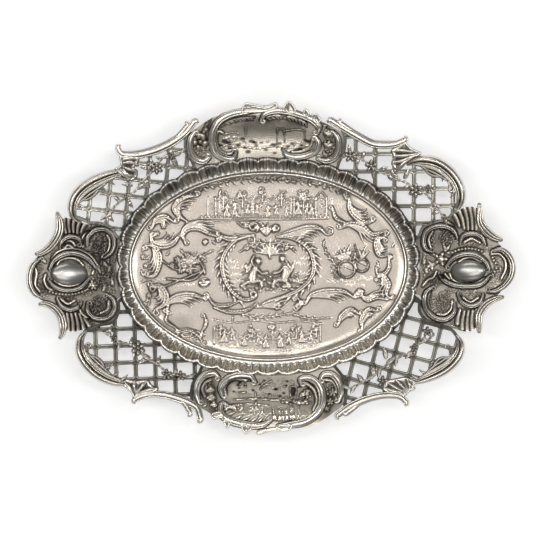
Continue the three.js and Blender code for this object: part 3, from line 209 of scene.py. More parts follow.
BANDS = {
    "end_wing_left_back": [
        (-143, 37.2, 0.9), (-141.6, 31, 2), (-141.6, 24, 2.4), (-144.7, 17.5, 2.3), (-149.6, 12, 2),
        (-154.5, 9.2, 1.5), (-158, 8.7, 0.9),
    ],
    "end_wing_left_front": [
        (-155.6, -25, 0.9), (-150, -25, 1.7), (-144.6, -28, 2.1), (-140.6, -33, 2.3), (-139, -39.5, 2.3),
        (-139.6, -45, 1.6), (-141.6, -48.4, 0.8),
    ],
    "end_wing_right_back": [
        (141.2, 43.2, 0.9), (141.5, 37, 1.5), (142.2, 30, 2.2), (146.2, 24, 2.4), (151.5, 20, 2),
        (157, 17.8, 1),
    ],
    "end_wing_right_front": [
        (158, -20, 1), (151.5, -21.8, 1.7), (145.5, -25.5, 2.1), (141.4, -31.5, 2.2), (140.8, -38, 1.9),
        (141.2, -44.6, 0.8),
    ],
    "end_lobe_left": [
        (-154, 6.2, 1), (-159, 1.8, 1.9), (-161.6, -5, 2.1), (-161.4, -12, 2.1), (-158, -18.3, 1.8),
        (-153.8, -20.8, 1),
    ],
    "end_lobe_right": [
        (150.5, 11, 1), (155.5, 11.8, 1.8), (160.5, 8.3, 2.2), (163.6, 1.5, 2.2), (162.8, -6, 2.2),
        (158.5, -12.3, 2), (152.5, -16, 1.5), (147.5, -16.6, 0.9),
    ],
    "boss_frame_left_back": [
        (-148, -1, 0.9), (-145, 4.5, 1.5), (-138, 8.6, 1.9), (-130, 9.2, 1.9), (-122.5, 5.6, 1.6),
        (-117.5, -0.5, 0.9),
    ],
    "boss_frame_left_front": [
        (-149, -8.8, 0.8), (-144.5, -13.3, 1.4), (-136, -15.8, 1.5), (-127.5, -13.8, 1.4),
        (-121.3, -7.3, 0.8),
    ],
    "boss_frame_right_back": [
        (119.5, 0.5, 0.9), (124, 5.8, 1.5), (131, 8.6, 1.7), (139, 8, 1.7), (145.5, 3.6, 1.5),
        (148, -1.5, 0.9),
    ],
    "boss_frame_right_front": [
        (114.5, -4.5, 0.9), (118, -9, 1.4), (125, -12.3, 1.6), (134, -13, 1.6), (142.5, -11.6, 1.5),
        (148.5, -6, 0.9),
    ],
    "end_curl_left_back": [
        (-141, 13.2, 0.8), (-139.3, 18, 1.4), (-134, 20.6, 1.6), (-128.7, 19, 1.4), (-127, 15.4, 0.8),
    ],
    "end_curl_left_front": [
        (-143, -21.5, 0.8), (-140, -26.5, 1.4), (-134.5, -28.8, 1.5), (-129.5, -27.4, 1.4),
        (-127, -24.3, 0.8),
    ],
    "end_curl_right_back": [
        (128.7, 15.8, 0.8), (130.5, 20.8, 1.4), (136.5, 22.6, 1.6), (143, 20.2, 1.4), (145.3, 15.4, 0.8),
    ],
    "end_curl_right_front": [
        (127, -18.3, 0.8), (129.6, -23.6, 1.4), (136, -26.4, 1.6), (141.8, -23.8, 1.4), (144, -18.8, 0.8),
    ],
    "end_loop_left_back": [
        (-123, 15, 0.9), (-122.5, 20.5, 1.5), (-117.5, 24.9, 1.6), (-111, 25.4, 1.5), (-106.3, 21.6, 1.5),
        (-105, 15.5, 1.4), (-107, 9.8, 1.2), (-111, 6.6, 0.8),
    ],
    "end_loop_left_front": [
        (-110, -18.5, 0.9), (-105.6, -22, 1.5), (-104.7, -28, 1.5), (-107.8, -33.3, 1.5),
        (-113.5, -35.2, 1.5), (-119.5, -33.6, 1.5), (-122.7, -29.5, 1.3), (-122.7, -24.5, 0.8),
    ],
    "end_loop_right_back": [
        (109.5, 10.3, 0.9), (105.6, 12.5, 1.5), (104.2, 18, 1.7), (106.2, 24, 1.8), (111.5, 27.2, 1.7),
        (118, 27.5, 1.7), (123.7, 25, 1.5), (126.5, 19.5, 0.9),
    ],
    "end_loop_right_front": [
        (110, -13.5, 0.9), (105.8, -17.5, 1.5), (104.7, -24, 1.7), (107, -30.2, 1.8), (112.3, -34.6, 1.8),
        (119, -35.2, 1.7), (124.3, -31, 1.5), (125, -25, 0.9),
    ],
    "back_frame_left": [
        (-22.5, 77.8, 0.9), (-24.5, 73.7, 1.5), (-31, 74, 2), (-36.3, 77.6, 2.1), (-38.6, 84.5, 2.1),
        (-37.6, 92.5, 2), (-33.5, 98.8, 2), (-26, 103, 2), (-16, 104.8, 1.7), (-8.5, 105.2, 0.9),
    ],
    "back_frame_right": [
        (-5.6, 99, 0.9), (-3, 103, 1.4), (3, 105.2, 1.8), (12, 104.9, 2), (21.5, 102.3, 1.9),
        (29.5, 98.5, 1.8), (33.3, 94, 1.6), (32.5, 90.3, 0.9),
    ],
    "back_frame_foot": [
        (31.3, 87.3, 0.9), (33, 83.5, 1.5), (31.3, 78.8, 1.7), (25.5, 75.6, 1.8), (17.5, 74.6, 1.7),
        (11, 76.3, 1.4), (9.3, 79.3, 0.8),
    ],
    "front_frame_top": [
        (-9.8, -77.5, 0.9), (-13, -74, 1.6), (-21, -73.3, 1.9), (-29, -76, 1.9), (-32.8, -81.5, 1.7),
        (-31.6, -87.3, 0.9),
    ],
    "front_frame_left": [
        (-28.6, -92.8, 0.9), (-31.7, -92, 1.2), (-33, -96.3, 1.6), (-30.5, -101, 1.9), (-24, -104.3, 2),
        (-14, -106.4, 2), (-5, -106.6, 1.6), (0.6, -103.4, 0.9),
    ],
    "front_frame_right": [
        (21.5, -79.4, 0.9), (20.7, -76, 1.3), (26, -74.9, 1.8), (32, -78.2, 2), (35.3, -84.5, 2.1),
        (35.2, -92.5, 2.1), (31.3, -99.3, 2.1), (24.3, -104, 2), (14, -106.2, 1.8), (6, -106.9, 0.9),
    ],
    "side_loop_back_left": [
        (-50.5, 91, 0.9), (-53.4, 86, 1.5), (-53.3, 79, 1.8), (-50, 73.2, 2), (-44.5, 71.7, 2),
        (-40.7, 74, 1),
    ],
    "side_loop_back_right": [
        (33, 73, 0.9), (38.5, 71.8, 1.8), (44, 74.3, 1.9), (46.7, 80.5, 1.7), (46, 87, 1.4), (43, 91, 0.8),
    ],
    "side_loop_front_left": [
        (-47.5, -91.5, 0.8), (-49.2, -85, 1.6), (-48, -78, 1.8), (-43.5, -73, 2), (-37.5, -72, 1.7),
        (-34.4, -74.3, 0.9),
    ],
    "side_loop_front_right": [
        (34.3, -76, 0.9), (36.6, -72.8, 1.6), (41.8, -72.7, 1.9), (46.3, -77, 1.9), (48.2, -83.5, 1.7),
        (46.8, -90.5, 0.8),
    ],
}

CREST_LEAVES = {
    "back": [
        [(-20, 103.5), (-18.5, 106.8), (-16.8, 110.3), (-10, 109.9), (-3, 108.6), (4.5, 110.7), (5.6, 107.6),
         (0, 104.5), (-10, 103.5)],
        [(8, 104.5), (8.8, 107), (12.5, 111.9), (16, 109.4), (18, 105.5), (17, 103)],
        [(21.8, 101.8), (22.4, 104), (24, 107), (27, 103), (26, 100.2)],
        [(28, 98.8), (28.3, 102.5), (31, 103.6), (35, 98.2), (32, 96)],
    ],
    "front": [
        [(-33.5, -96.5), (-39.5, -98.7), (-38, -102.6), (-34.5, -102), (-30, -101)],
        [(-31, -101.5), (-31, -105), (-28, -108.8), (-26.5, -106.3), (-25, -103.5)],
        [(-20.5, -105), (-19, -108.4), (-16, -112.5), (-12.3, -109.6), (-11, -106)],
        [(4, -107.6), (-2, -108.6), (-8.6, -110.4), (-8, -112.8), (-3, -111.8), (1, -110.4), (14, -109.8),
         (15.5, -106), (8, -105.8)],
    ],
}

# Places on the tray: half widths of its ovals, the border's rise, the wall, gauges and the trellis bars

MIDDLE = np.array([-1.0, 0.34])
WALL = (102.3, 72.2)
RIM = (165.0, 112.6)
WELL = (93.3, 63.2)
SEAT = 11.75
RISE = 16.0
BEND = 1.6
SWELLS = ((-3, 88), (1, -90))
SWELL_RADII = (46, 20)
SWELL_RISE = 0.9
FLOOR = 1.2
FOOT = 2.5
LIP = 14.0
LIP_RUN = 10.8
GAUGE = 1.1
BORDER_START = 9.0
BAR = 2.9
CORNER_RADIUS = 1.1
MARGIN = 2.2

# Depth of the furrow traced beside a stroke, as a share of its height
TRACE = 0.25

# Steps of the rasters and of the grids laid through them, all in millimetres
WELL_STEP = 0.22
RELIEF_STEP = 0.25
FLOOR_GRID = TRELLIS_GRID = 0.45
PLATE_GRID = 0.42
ORNAMENT_GRID = 0.34
ROUND = 360

BAND_SHADE = 0.9
UNDERSIDE_PATINA = 0.6
BUMP_DEPTH = 0.12
HOLLOW_GAIN = 4.2
NECK_SHARE = 0.86
SUNK = 0.15

well_low, well_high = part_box("well_plate")
SHIFT = np.array([(well_low[i] + well_high[i]) / 2 / MM for i in (0, 1)]) - MIDDLE


def reach(halves, angle):
    return halves[0] * halves[1] / np.hypot(halves[1] * np.cos(angle), halves[0] * np.sin(angle))


def sheet(x, y):
    """Height of the border's upper face over the plan."""
    dx, dy = x - MIDDLE[0], y - MIDDLE[1]
    angle = np.arctan2(dy, dx)
    inner = reach(WALL, angle)
    share = (np.hypot(dx, dy) - inner) / (reach(RIM, angle) - inner)
    top = SEAT + RISE * (1 - (1 - np.clip(share, 0, 1)) ** BEND)
    for mx, my in SWELLS:
        far = np.hypot((x - mx) / SWELL_RADII[0], (y - my) / SWELL_RADII[1])
        top = top + SWELL_RISE * np.maximum(0, 1 - far ** 2) ** 2
    return top


def oval_field(x, y, grow):
    """About the distance outside the well's oval grown by a run, negative inside."""
    dx, dy = x - MIDDLE[0], y - MIDDLE[1]
    return np.hypot(dx, dy) - reach((WELL[0] + grow, WELL[1] + grow), np.arctan2(dy, dx))


# Lines

def smooth(points, spacing=0.5):
    """Rows along a smooth line through rows of numbers, whose first two are the place."""
    p = np.asarray(points, float)
    p = np.vstack([2 * p[0] - p[1], p, 2 * p[-1] - p[-2]])
    rows = []
    for i in range(1, len(p) - 2):
        a, b, c, d = p[i - 1:i + 3]
        gaps = [max(1e-6, math.hypot(*(v - u)[:2])) ** 0.5 for u, v in ((a, b), (b, c), (c, d))]
        knots = np.cumsum([0] + gaps)
        count = max(2, math.ceil(math.hypot(*(c - b)[:2]) / spacing))
        t = np.linspace(knots[1], knots[2], count, endpoint=False)[:, None]
        ab = a + (b - a) * (t - knots[0]) / (knots[1] - knots[0])
        bc = b + (c - b) * (t - knots[1]) / (knots[2] - knots[1])
        cd = c + (d - c) * (t - knots[2]) / (knots[3] - knots[2])
        abc = ab + (bc - ab) * (t - knots[0]) / (knots[2] - knots[0])
        bcd = bc + (cd - bc) * (t - knots[1]) / (knots[3] - knots[1])
        rows.append(abc + (bcd - abc) * (t - knots[1]) / (knots[2] - knots[1]))
    rows.append(p[-2][None])
    rows = np.vstack(rows)
    rows[:, 2:] = np.clip(rows[:, 2:], p[:, 2:].min(0), p[:, 2:].max(0))
    return rows


def spiral(row, heading, side, radius, turns):
    """Rows of a curl that goes on from a line's end, with a small ball at its own."""
    x, y, half = row
    centre = np.array([x - side * radius * heading[1], y + side * radius * heading[0]])
    start = math.atan2(y - centre[1], x - centre[0])
    share = np.linspace(0, 1, max(6, int(16 * turns)))[1:]
    angle = start + side * share * turns * 2 * math.pi
    r = radius * (1 - 0.62 * share)
    halves = half * (1 - 0.35 * share)
    halves[-2:] *= 1.25
    return np.column_stack([centre[0] + r * np.cos(angle), centre[1] + r * np.sin(angle), halves])


def curled(points, start=0, end=0, spacing=0.5, turns=0.9):
    """A smooth line whose ends wind into curls: a radius for each end, negative to curl outwards."""
    rows = smooth(points, spacing)
    for radius in (end, start):
        if radius:
            near = rows[-1, :2] - rows[-4, :2]
            heading = near / np.hypot(*near)
            far = rows[-8, :2] - rows[-12, :2] if len(rows) > 12 else rows[1, :2] - rows[0, :2]
            side = np.sign(far[0] * heading[1] - far[1] * heading[0]) or 1
            side *= np.sign(radius)
            rows = np.vstack([rows, spiral(rows[-1], heading, side, abs(radius), turns)])
        rows = rows[::-1]
    return rows


def plump(rows, least):
    """Keeps a line's half width above a least value and rounds off both its ends, over five rows each."""
    cap = 5
    rows = np.array(rows)
    rows[:, 2] = np.maximum(rows[:, 2], least)
    away = np.minimum(np.arange(len(rows)), np.arange(len(rows))[::-1])
    rows[:, 2] *= np.sqrt(np.clip(1 - (1 - np.minimum(away + 0.5, cap) / cap) ** 2, 0, 1))
    return rows


def tapered(points, width, ends=(0.35, 0.35)):
    """Half widths for a bare line: full in the middle and fine at its ends."""
    p = np.asarray(points, float)
    run = np.concatenate([[0], np.cumsum(np.hypot(*np.diff(p, axis=0).T))])
    t = run / run[-1]
    base = ends[0] + (ends[1] - ends[0]) * t
    return np.column_stack([p, width * (base + (1 - base) * np.sin(np.pi * np.clip(t, 0.02, 0.98)) ** 0.7)])


# Relief drawn as a raster of heights

def hill(u, at=0.0, wide=1.0):
    return np.sqrt(np.clip(1 - ((u - at) / wide) ** 2, 0, 1))


# Sections of a band: its height at u, from -1 to 1 across it, and at a run along it.
SHAPES = {
    "round": lambda u, run: hill(u),
    "soft": lambda u, run: np.clip(1 - u ** 2, 0, 1),
    "roll": lambda u, run: np.maximum(
        np.maximum(hill(u, -0.48, 0.5), 0.75 * hill(u, 0.55, 0.42)), 0.2 * hill(u)),
    "leaf": lambda u, run: (
        hill(u) * (0.6 + 0.4 * np.abs(u)) * (0.86 + 0.14 * np.cos(run * 2.6 - 2 * np.abs(u)))),
}


class Relief:
    """Heights over a rectangle of the plan, built up from strokes and domes."""

    def __init__(self, x0, y0, x1, y1, step, trace=1.0):
        self.x0, self.y0, self.step = x0, y0, step
        self.trace = trace
        self.xs = np.arange(x0, x1 + step, step)
        self.ys = np.arange(y0, y1 + step, step)
        self.x, self.y = np.meshgrid(self.xs, self.ys)
        self.up = np.zeros_like(self.x)
        self.down = np.zeros_like(self.x)
        self.tone = np.zeros_like(self.x)
        self.box = (x0, y0, x1, y1)

    def window(self, x0, y0, x1, y1):
        i0 = max(0, int((x0 - self.x0) / self.step))
        j0 = max(0, int((y0 - self.y0) / self.step))
        i1 = int((x1 - self.x0) / self.step) + 2
        j1 = int((y1 - self.y0) / self.step) + 2
        return (slice(j0, max(j0, j1)), slice(i0, max(i0, i1)))

    def stroke(self, rows, height, shape="round"):
        """A band along rows of x, y, half width, which is lower where it is narrower."""
        rows = np.asarray(rows, float)
        step = np.diff(rows[:, :2], axis=0)
        ahead = np.vstack([step, step[-1:]])
        ahead /= np.maximum(1e-9, np.hypot(*ahead.T))[:, None]
        run = np.concatenate([[0], np.cumsum(np.hypot(*step.T))])
        widest = rows[:, 2].max()
        for k in range(0, len(rows), 6):
            part = rows[k:k + 7]
            pad = part[:, 2].max() * 1.7 + 0.6
            win = self.window(*(part[:, :2].min(0) - pad), *(part[:, :2].max(0) + pad))
            gx, gy = self.x[win], self.y[win]
            if not gx.size:
                continue
            dx = gx[..., None] - part[:, 0]
            dy = gy[..., None] - part[:, 1]
            away = np.hypot(dx, dy) / part[:, 2]
            best = away.argmin(-1)
            pick = best[..., None]
            u = np.take_along_axis(away, pick, -1)[..., 0]
            head = ahead[k:k + 7][best]
            side = np.sign(head[..., 0] * np.take_along_axis(dy, pick, -1)[..., 0]
                           - head[..., 1] * np.take_along_axis(dx, pick, -1)[..., 0])
            half = part[:, 2][best]
            tall = height * np.sqrt(half / widest)
            up = tall * SHAPES[shape](np.clip(u, 0, 1) * side, run[k:k + 7][best]) * (u < 1)
            self.up[win] = np.maximum(self.up[win], up)
            edge = (u - 1) * half
            line = self.trace * TRACE * height * np.clip(1 - np.abs(edge - 0.22) / 0.42, 0, 1)
            self.down[win] = np.maximum(self.down[win], line)

    def dome(self, x, y, a, b, height, turn=0.0, power=1.0, trace=0.2):
        """An oval knob; a power over 1 draws it out to a point."""
        pad = max(a, b) * 1.5
        win = self.window(x - pad, y - pad, x + pad, y + pad)
        c, s = math.cos(math.radians(turn)), math.sin(math.radians(turn))
        dx, dy = self.x[win] - x, self.y[win] - y
        far = np.hypot((c * dx + s * dy) / a, (c * dy - s * dx) / b)
        self.up[win] = np.maximum(self.up[win], height * np.clip(1 - far ** 2, 0, 1) ** (0.5 * power))
        edge = (far - 1) * min(a, b)
        line = self.trace * trace * height * np.clip(1 - np.abs(edge - 0.2) / 0.4, 0, 1)
        self.down[win] = np.maximum(self.down[win], line)

    def shade(self, x, y, a, b, value):
        """Darkens the colour over a soft oval, or brightens it where the value is negative: painted shade and
        painted light, and also darker matted grounds.
        """
        win = self.window(x - 1.6 * a, y - 1.6 * b, x + 1.6 * a, y + 1.6 * b)
        far = ((self.x[win] - x) / a) ** 2 + ((self.y[win] - y) / b) ** 2
        self.tone[win] += value * np.exp(-far ** 2)

    def outline(self, rows, wide):
        """Darkens the ground under a band and a little beside it: painted contact shadow, with tarnish."""
        other = Relief(*self.box, self.step)
        rows = np.array(rows, float)[:, :3]
        rows[:, 2] += wide
        other.stroke(rows, 1.0, "soft")
        self.tone += BAND_SHADE * np.clip(3 * other.up, 0, 1)

    def heights(self):
        """What stands up, with the traced furrows cut in where nothing does."""
        return self.up - self.down * (self.up < 0.12)

    def at(self, grid, x, y):
        """A raster's value at points of the plan."""
        fx = np.clip((x - self.x0) / self.step, 0, len(self.xs) - 1.001)
        fy = np.clip((y - self.y0) / self.step, 0, len(self.ys) - 1.001)
        i, j = fx.astype(int), fy.astype(int)
        fx, fy = fx - i, fy - j
        return ((grid[j, i] * (1 - fx) + grid[j, i + 1] * fx) * (1 - fy)
                + (grid[j + 1, i] * (1 - fx) + grid[j + 1, i + 1] * fx) * fy)


def blurred(grid, sigma):
    """A soft copy of a raster; sigma in cells."""
    pad = int(3 * sigma) + 1
    wide = np.pad(grid, pad, mode="edge")
    fy = np.fft.fftfreq(wide.shape[0])[:, None]
    fx = np.fft.rfftfreq(wide.shape[1])[None]
    kept = np.exp(-2 * (math.pi * sigma) ** 2 * (fx ** 2 + fy ** 2))
    soft = np.fft.irfft2(np.fft.rfft2(wide) * kept, s=wide.shape)
    return soft[pad:-pad, pad:-pad]


def tarnish(heights, step, depth, ground=0.25):
    """0 where the relief stands proud and is rubbed bright, up to 1 deep beside it."""
    fine = blurred(heights, 0.7 / step) - heights
    broad = blurred(heights, 2.2 / step) - heights
    return np.clip(ground + (0.9 * fine + 0.5 * broad) / depth, 0, 1)


# Meshes

def linked(name, data):
    made = bpy.data.objects.new(name, data)
    SCENE.collection.objects.link(made)
    return made


def marked(mesh, name, values):
    mesh.attributes.new(name, "FLOAT", "POINT").data.foreach_set("value", np.asarray(values, np.float32))


def mesh_piece(name, verts, faces, patina_and_shade, sharp=None):
    """An object from rows of millimetres in the drawing and rows of faces of one size."""
    co = np.asarray(verts, float).copy()
    co[:, :2] += SHIFT
    co *= MM
    faces = np.asarray(faces, np.int32)
    mesh = bpy.data.meshes.new(name)
    mesh.vertices.add(len(co))
    mesh.vertices.foreach_set("co", co.astype(np.float32).ravel())
    mesh.loops.add(faces.size)
    mesh.loops.foreach_set("vertex_index", faces.ravel())
    mesh.polygons.add(len(faces))
    mesh.polygons.foreach_set("loop_start", np.arange(len(faces), dtype=np.int32) * faces.shape[1])
    mesh.update(calc_edges=True)
    mesh.validate()
    mesh.polygons.foreach_set("use_smooth", np.ones(len(mesh.polygons), bool))
    marked(mesh, "patina_and_shade", patina_and_shade)
    if sharp:
        mesh.set_sharp_from_angle(angle=math.radians(sharp))
    return linked(name, mesh)


def cut_grid(x0, y0, x1, y1, step, inside):
    """Triangles of a square grid, cut along the line where inside(x, y) falls to zero."""
    xs = np.arange(x0, x1 + step, step)
    ys = np.arange(y0, y1 + step, step)
    gx, gy = np.meshgrid(xs, ys)
    level = inside(gx, gy)
    level[np.abs(level) < 0.15 * step] = 0.15 * step
    index = np.arange(gx.size).reshape(gx.shape)
    a, b, c, d = index[:-1, :-1], index[:-1, 1:], index[1:, 1:], index[1:, :-1]
    tris = np.concatenate([np.stack(corners, -1).reshape(-1, 3) for corners in ((a, b, c), (a, c, d))])
    points = np.column_stack([gx.ravel(), gy.ravel()])
    level = level.ravel()
    keep = level[tris] > 0
    count = keep.sum(1)
    full = tris[count == 3]

    def turned(rows, first):
        return rows[np.arange(len(rows))[:, None], (first[:, None] + np.arange(3)) % 3]

    one = turned(tris[count == 1], keep[count == 1].argmax(1))
    two = turned(tris[count == 2], (~keep[count == 2]).argmax(1))
    ends = np.concatenate([one[:, [0, 1]], one[:, [0, 2]], two[:, [0, 1]], two[:, [0, 2]]])
    pairs, where = np.unique(np.sort(ends, 1), axis=0, return_inverse=True)
    where = where.ravel()
    la, lb = level[pairs[:, 0]], level[pairs[:, 1]]
    share = (la / (la - lb))[:, None]
    cuts = points[pairs[:, 0]] * (1 - share) + points[pairs[:, 1]] * share
    where = where + len(points)
    n, m = len(one), len(two)
    p, q, r, s = where[:n], where[n:2 * n], where[2 * n:2 * n + m], where[2 * n + m:]
    tris = np.vstack([full, np.column_stack([one[:, 0], p, q]), np.column_stack([r, two[:, 1:]]),
                      np.column_stack([r, two[:, 2], s])])
    points = np.vstack([points, cuts])
    used = np.unique(tris)
    back = np.full(len(points), -1)
    back[used] = np.arange(len(used))
    return points[used], back[tris]


def rim_edges(tris):
    """The directed edges that only one triangle has."""
    edges = np.concatenate([tris[:, [0, 1]], tris[:, [1, 2]], tris[:, [2, 0]]])
    key = np.sort(edges, 1)
    _, first, count = np.unique(key, axis=0, return_index=True, return_counts=True)
    return edges[first[count == 1]]


def under_sheet(x, y):
    return sheet(x, y) - GAUGE


def plate_piece(name, box, step, inside, top, patina_and_shade, under=under_sheet):
    """A sheet over the part of the plan where inside(x, y) > 0, between under(x, y) and top(x, y)."""
    plan, tris = cut_grid(*box, step, inside)
    x, y = plan.T
    high = top(x, y)
    upper = np.column_stack([x, y, high])
    n = len(plan)
    lower = np.column_stack([x, y, np.minimum(under(x, y), high - 0.2)])
    i, j = rim_edges(tris).T
    sides = np.concatenate([np.column_stack([j, i, i + n]), np.column_stack([j, i + n, j + n])])
    faces = np.concatenate([tris, tris[:, ::-1] + n, sides])
    tarnish_and_shade = np.concatenate([patina_and_shade(x, y), np.full(n, UNDERSIDE_PATINA)])
    return mesh_piece(name, np.vstack([upper, lower]), faces, tarnish_and_shade, sharp=48)


def outline_level(outline):
    """inside(x, y): about the distance inside a closed outline."""
    ring = smooth(list(outline) + [outline[0]], 1.0)[:-1]
    nxt = np.roll(ring, -1, 0)

    def level(x, y):
        shape = np.shape(x)
        px, py = np.ravel(x), np.ravel(y)
        best = np.full(px.shape, 1e9)
        odd = np.zeros(px.shape, bool)
        for (ax, ay), (bx, by) in zip(ring[:, :2], nxt[:, :2]):
            ex, ey = bx - ax, by - ay
            t = np.clip(((px - ax) * ex + (py - ay) * ey) / (ex * ex + ey * ey + 1e-12), 0, 1)
            best = np.minimum(best, (px - ax - t * ex) ** 2 + (py - ay - t * ey) ** 2)
            if ay != by:
                odd ^= ((ay > py) != (by > py)) & (px < (bx - ax) * (py - ay) / (by - ay) + ax)
        return (np.sqrt(best) * np.where(odd, 1, -1)).reshape(shape)

    return level


def box_of(outline, pad=1.0):
    p = np.asarray([q[:2] for q in outline], float)
    return (*(p.min(0) - pad), *(p.max(0) + pad))


def curvature_marks(piece, age_and_shade):
    """Writes darkening from a mesh's own hollows, as tarnish, with painted shade where it comes down near the
    sheet under it, and a given darkening on top.
    """
    mesh = piece.data
    n = len(mesh.vertices)
    co = np.empty(n * 3)
    mesh.vertices.foreach_get("co", co)
    co = co.reshape(-1, 3) / MM
    no = np.empty(n * 3)
    mesh.vertex_normals.foreach_get("vector", no)
    no = no.reshape(-1, 3)
    ed = np.empty(len(mesh.edges) * 2, np.int32)
    mesh.edges.foreach_get("vertices", ed)
    i, j = ed.reshape(-1, 2).T
    deg = np.bincount(i, minlength=n) + np.bincount(j, minlength=n)
    gap = co[j] - co[i]
    size = np.hypot(np.hypot(*gap[:, :2].T), gap[:, 2]) + 1e-9
    bend = (gap * no[i]).sum(1) / size
    back = -(gap * no[j]).sum(1) / size
    hollow = (np.bincount(i, bend, n) + np.bincount(j, back, n)) / np.maximum(1, deg)
    for _ in range(2):
        around = (np.bincount(i, hollow[j], n) + np.bincount(j, hollow[i], n)) / np.maximum(1, deg)
        hollow = 0.5 * hollow + 0.5 * around
    over = co[:, 2] - sheet(co[:, 0] - SHIFT[0], co[:, 1] - SHIFT[1])
    patina_and_shade = np.clip(0.22 + age_and_shade + HOLLOW_GAIN * hollow, 0, 1)
    # Painted contact shadow where the piece comes down to the sheet.
    marked(mesh, "patina_and_shade", np.maximum(patina_and_shade, np.clip(1 - (over - 0.1) / 0.8, 0, 1) * 0.95))


# Node trees

class Val:
    """A socket that takes part in sums: numbers through Math, vectors through Vector Math."""

    def __init__(self, tree, socket):
        self.tree = tree
        self.socket = socket

    def both(self, operation, other, swap=False):
        pair = (other, self) if swap else (self, other)
        vector = any(isinstance(v, Val) and v.socket.type == "VECTOR" for v in pair)
        kind = "ShaderNodeVectorMath" if vector else "ShaderNodeMath"
        return put(self.tree, kind, {0: pair[0], 1: pair[1]}, operation=operation)

    def max(self, other):
        return self.both("MAXIMUM", other)

    def min(self, other):
        return self.both("MINIMUM", other)

    def one(self, operation):
        return put(self.tree, "ShaderNodeMath", {0: self}, operation=operation)

    def clamped(self):
        return put(self.tree, "ShaderNodeClamp", {"Value": self})


for sign, sum_name in (
    ("add", "ADD"), ("sub", "SUBTRACT"), ("mul", "MULTIPLY"), ("truediv", "DIVIDE"), ("pow", "POWER"),
):
    setattr(Val, f"__{sign}__", lambda self, other, name=sum_name: self.both(name, other))
    setattr(Val, f"__r{sign}__", lambda self, other, name=sum_name: self.both(name, other, True))


def put(tree, kind, inputs=None, out=0, **settings):
    """Adds a node, sets it, links or fills its sockets, and returns one of its outputs."""
    node = tree.nodes.new(kind)
    for key, value in settings.items():
        setattr(node, key, value)
    for key, value in (inputs or {}).items():
        socket = node.inputs[key]
        if isinstance(value, Val):
            tree.links.new(value.socket, socket)
        elif socket.type == "VECTOR" and isinstance(value, (int, float)):
            socket.default_value = (value, value, value)
        else:
            socket.default_value = value
    return Val(tree, node.outputs[out])


# Materials

def silver(name, clean, dark, rough, grain, cloud, punch):
    """Worn silver: a per-point darkening mixes a clean and a dark colour, bright where it is rubbed, dark in
    its hollows and where shade is painted, with clouds, fine scratches and pits.
    """
    material = bpy.data.materials.new(name)
    material.use_nodes = True
    tree = material.node_tree
    tree.nodes.clear()
    place = put(tree, "ShaderNodeTexCoord", out="Object")
    patina_and_shade = put(tree, "ShaderNodeAttribute", out="Fac", attribute_name="patina_and_shade")

    def noise(scale, detail, roughness=0.5, where=place):
        return put(tree, "ShaderNodeTexNoise", {
            "Vector": where, "Scale": scale, "Detail": detail, "Roughness": roughness})

    clouds = noise(70.0, 4.0, 0.6)
    specks = noise(900.0, 3.0, 0.65)
    mask = (patina_and_shade + (clouds - 0.5) * cloud + (specks - 0.5) * (0.5 * cloud)).clamped()
    colour = put(tree, "ShaderNodeMix", {0: mask, 6: (*clean, 1), 7: (*dark, 1)}, out=2, data_type="RGBA")
    roughness = (mask * (rough[1] - rough[0]) + rough[0] + (specks - 0.5) * 0.12).clamped()
    stretched = put(tree, "ShaderNodeVectorMath", {0: place, 1: (1.0, 0.25, 1.0)}, operation="MULTIPLY")
    brushed = noise(2600.0, 2.0, where=stretched)
    height = specks * 0.6 + brushed * 0.4
    if punch:
        dots = put(tree, "ShaderNodeTexVoronoi", {"Vector": place, "Scale": 1100.0}, feature="F1")
        height = height + dots.min(0.6) * punch
    bump = put(tree, "ShaderNodeBump", {
        "Height": height, "Strength": grain, "Distance": BUMP_DEPTH * MM}, out="Normal")
    shader = tree.nodes.new("ShaderNodeBsdfPrincipled")
    shader.inputs["Metallic"].default_value = 1.0
    for key, value in (("Base Color", colour), ("Roughness", roughness), ("Normal", bump)):
        tree.links.new(value.socket, shader.inputs[key])
    output = tree.nodes.new("ShaderNodeOutputMaterial")
    tree.links.new(shader.outputs[0], output.inputs[0])
    return material


# Clean colour, dark colour, roughness of each, grain, clouds and punched dots.
# All of these are the tray's one silver: their clean colours differ, from the well's dark one to the wall's
# light one, partly as tarnish and partly as painted light and shade.
SILVERS = {
    "well_silver": ((0.5, 0.447, 0.385), (0.07, 0.06, 0.055), (0.19, 0.45), 0.12, 0.34, 0.0),
    "bright_silver": ((0.84, 0.79, 0.7), (0.1, 0.09, 0.08), (0.14, 0.4), 0.15, 0.25, 0.0),
    "wall_silver": ((0.9, 0.85, 0.77), (0.05, 0.047, 0.045), (0.18, 0.48), 0.2, 0.12, 0.0),
    "trellis_silver": ((0.66, 0.62, 0.53), (0.09, 0.085, 0.07), (0.24, 0.5), 0.25, 0.4, 0.0),
    "plate_silver": ((0.86, 0.78, 0.66), (0.035, 0.028, 0.025), (0.2, 0.5), 0.5, 0.45, 0.5),
    "boss_silver": ((0.56, 0.54, 0.5), (0.05, 0.046, 0.042), (0.27, 0.45), 0.06, 0.15, 0.0),
    "scroll_silver": ((0.84, 0.79, 0.71), (0.04, 0.036, 0.032), (0.2, 0.5), 0.12, 0.25, 0.0),
    "leaf_silver": ((0.68, 0.64, 0.57), (0.04, 0.036, 0.032), (0.22, 0.5), 0.15, 0.3, 0.0),
}
MATERIALS = {name: silver(name, *look) for name, look in SILVERS.items()}


def finished(piece, slot, *nodes):
    """Gives a piece its silver, its body and the CAD nodes that it stands for."""
    piece.data.materials.clear()
    piece.data.materials.append(MATERIALS[slot])
    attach(piece, "root")
    if nodes:
        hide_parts(*nodes)
    return piece


# Geometry node trees

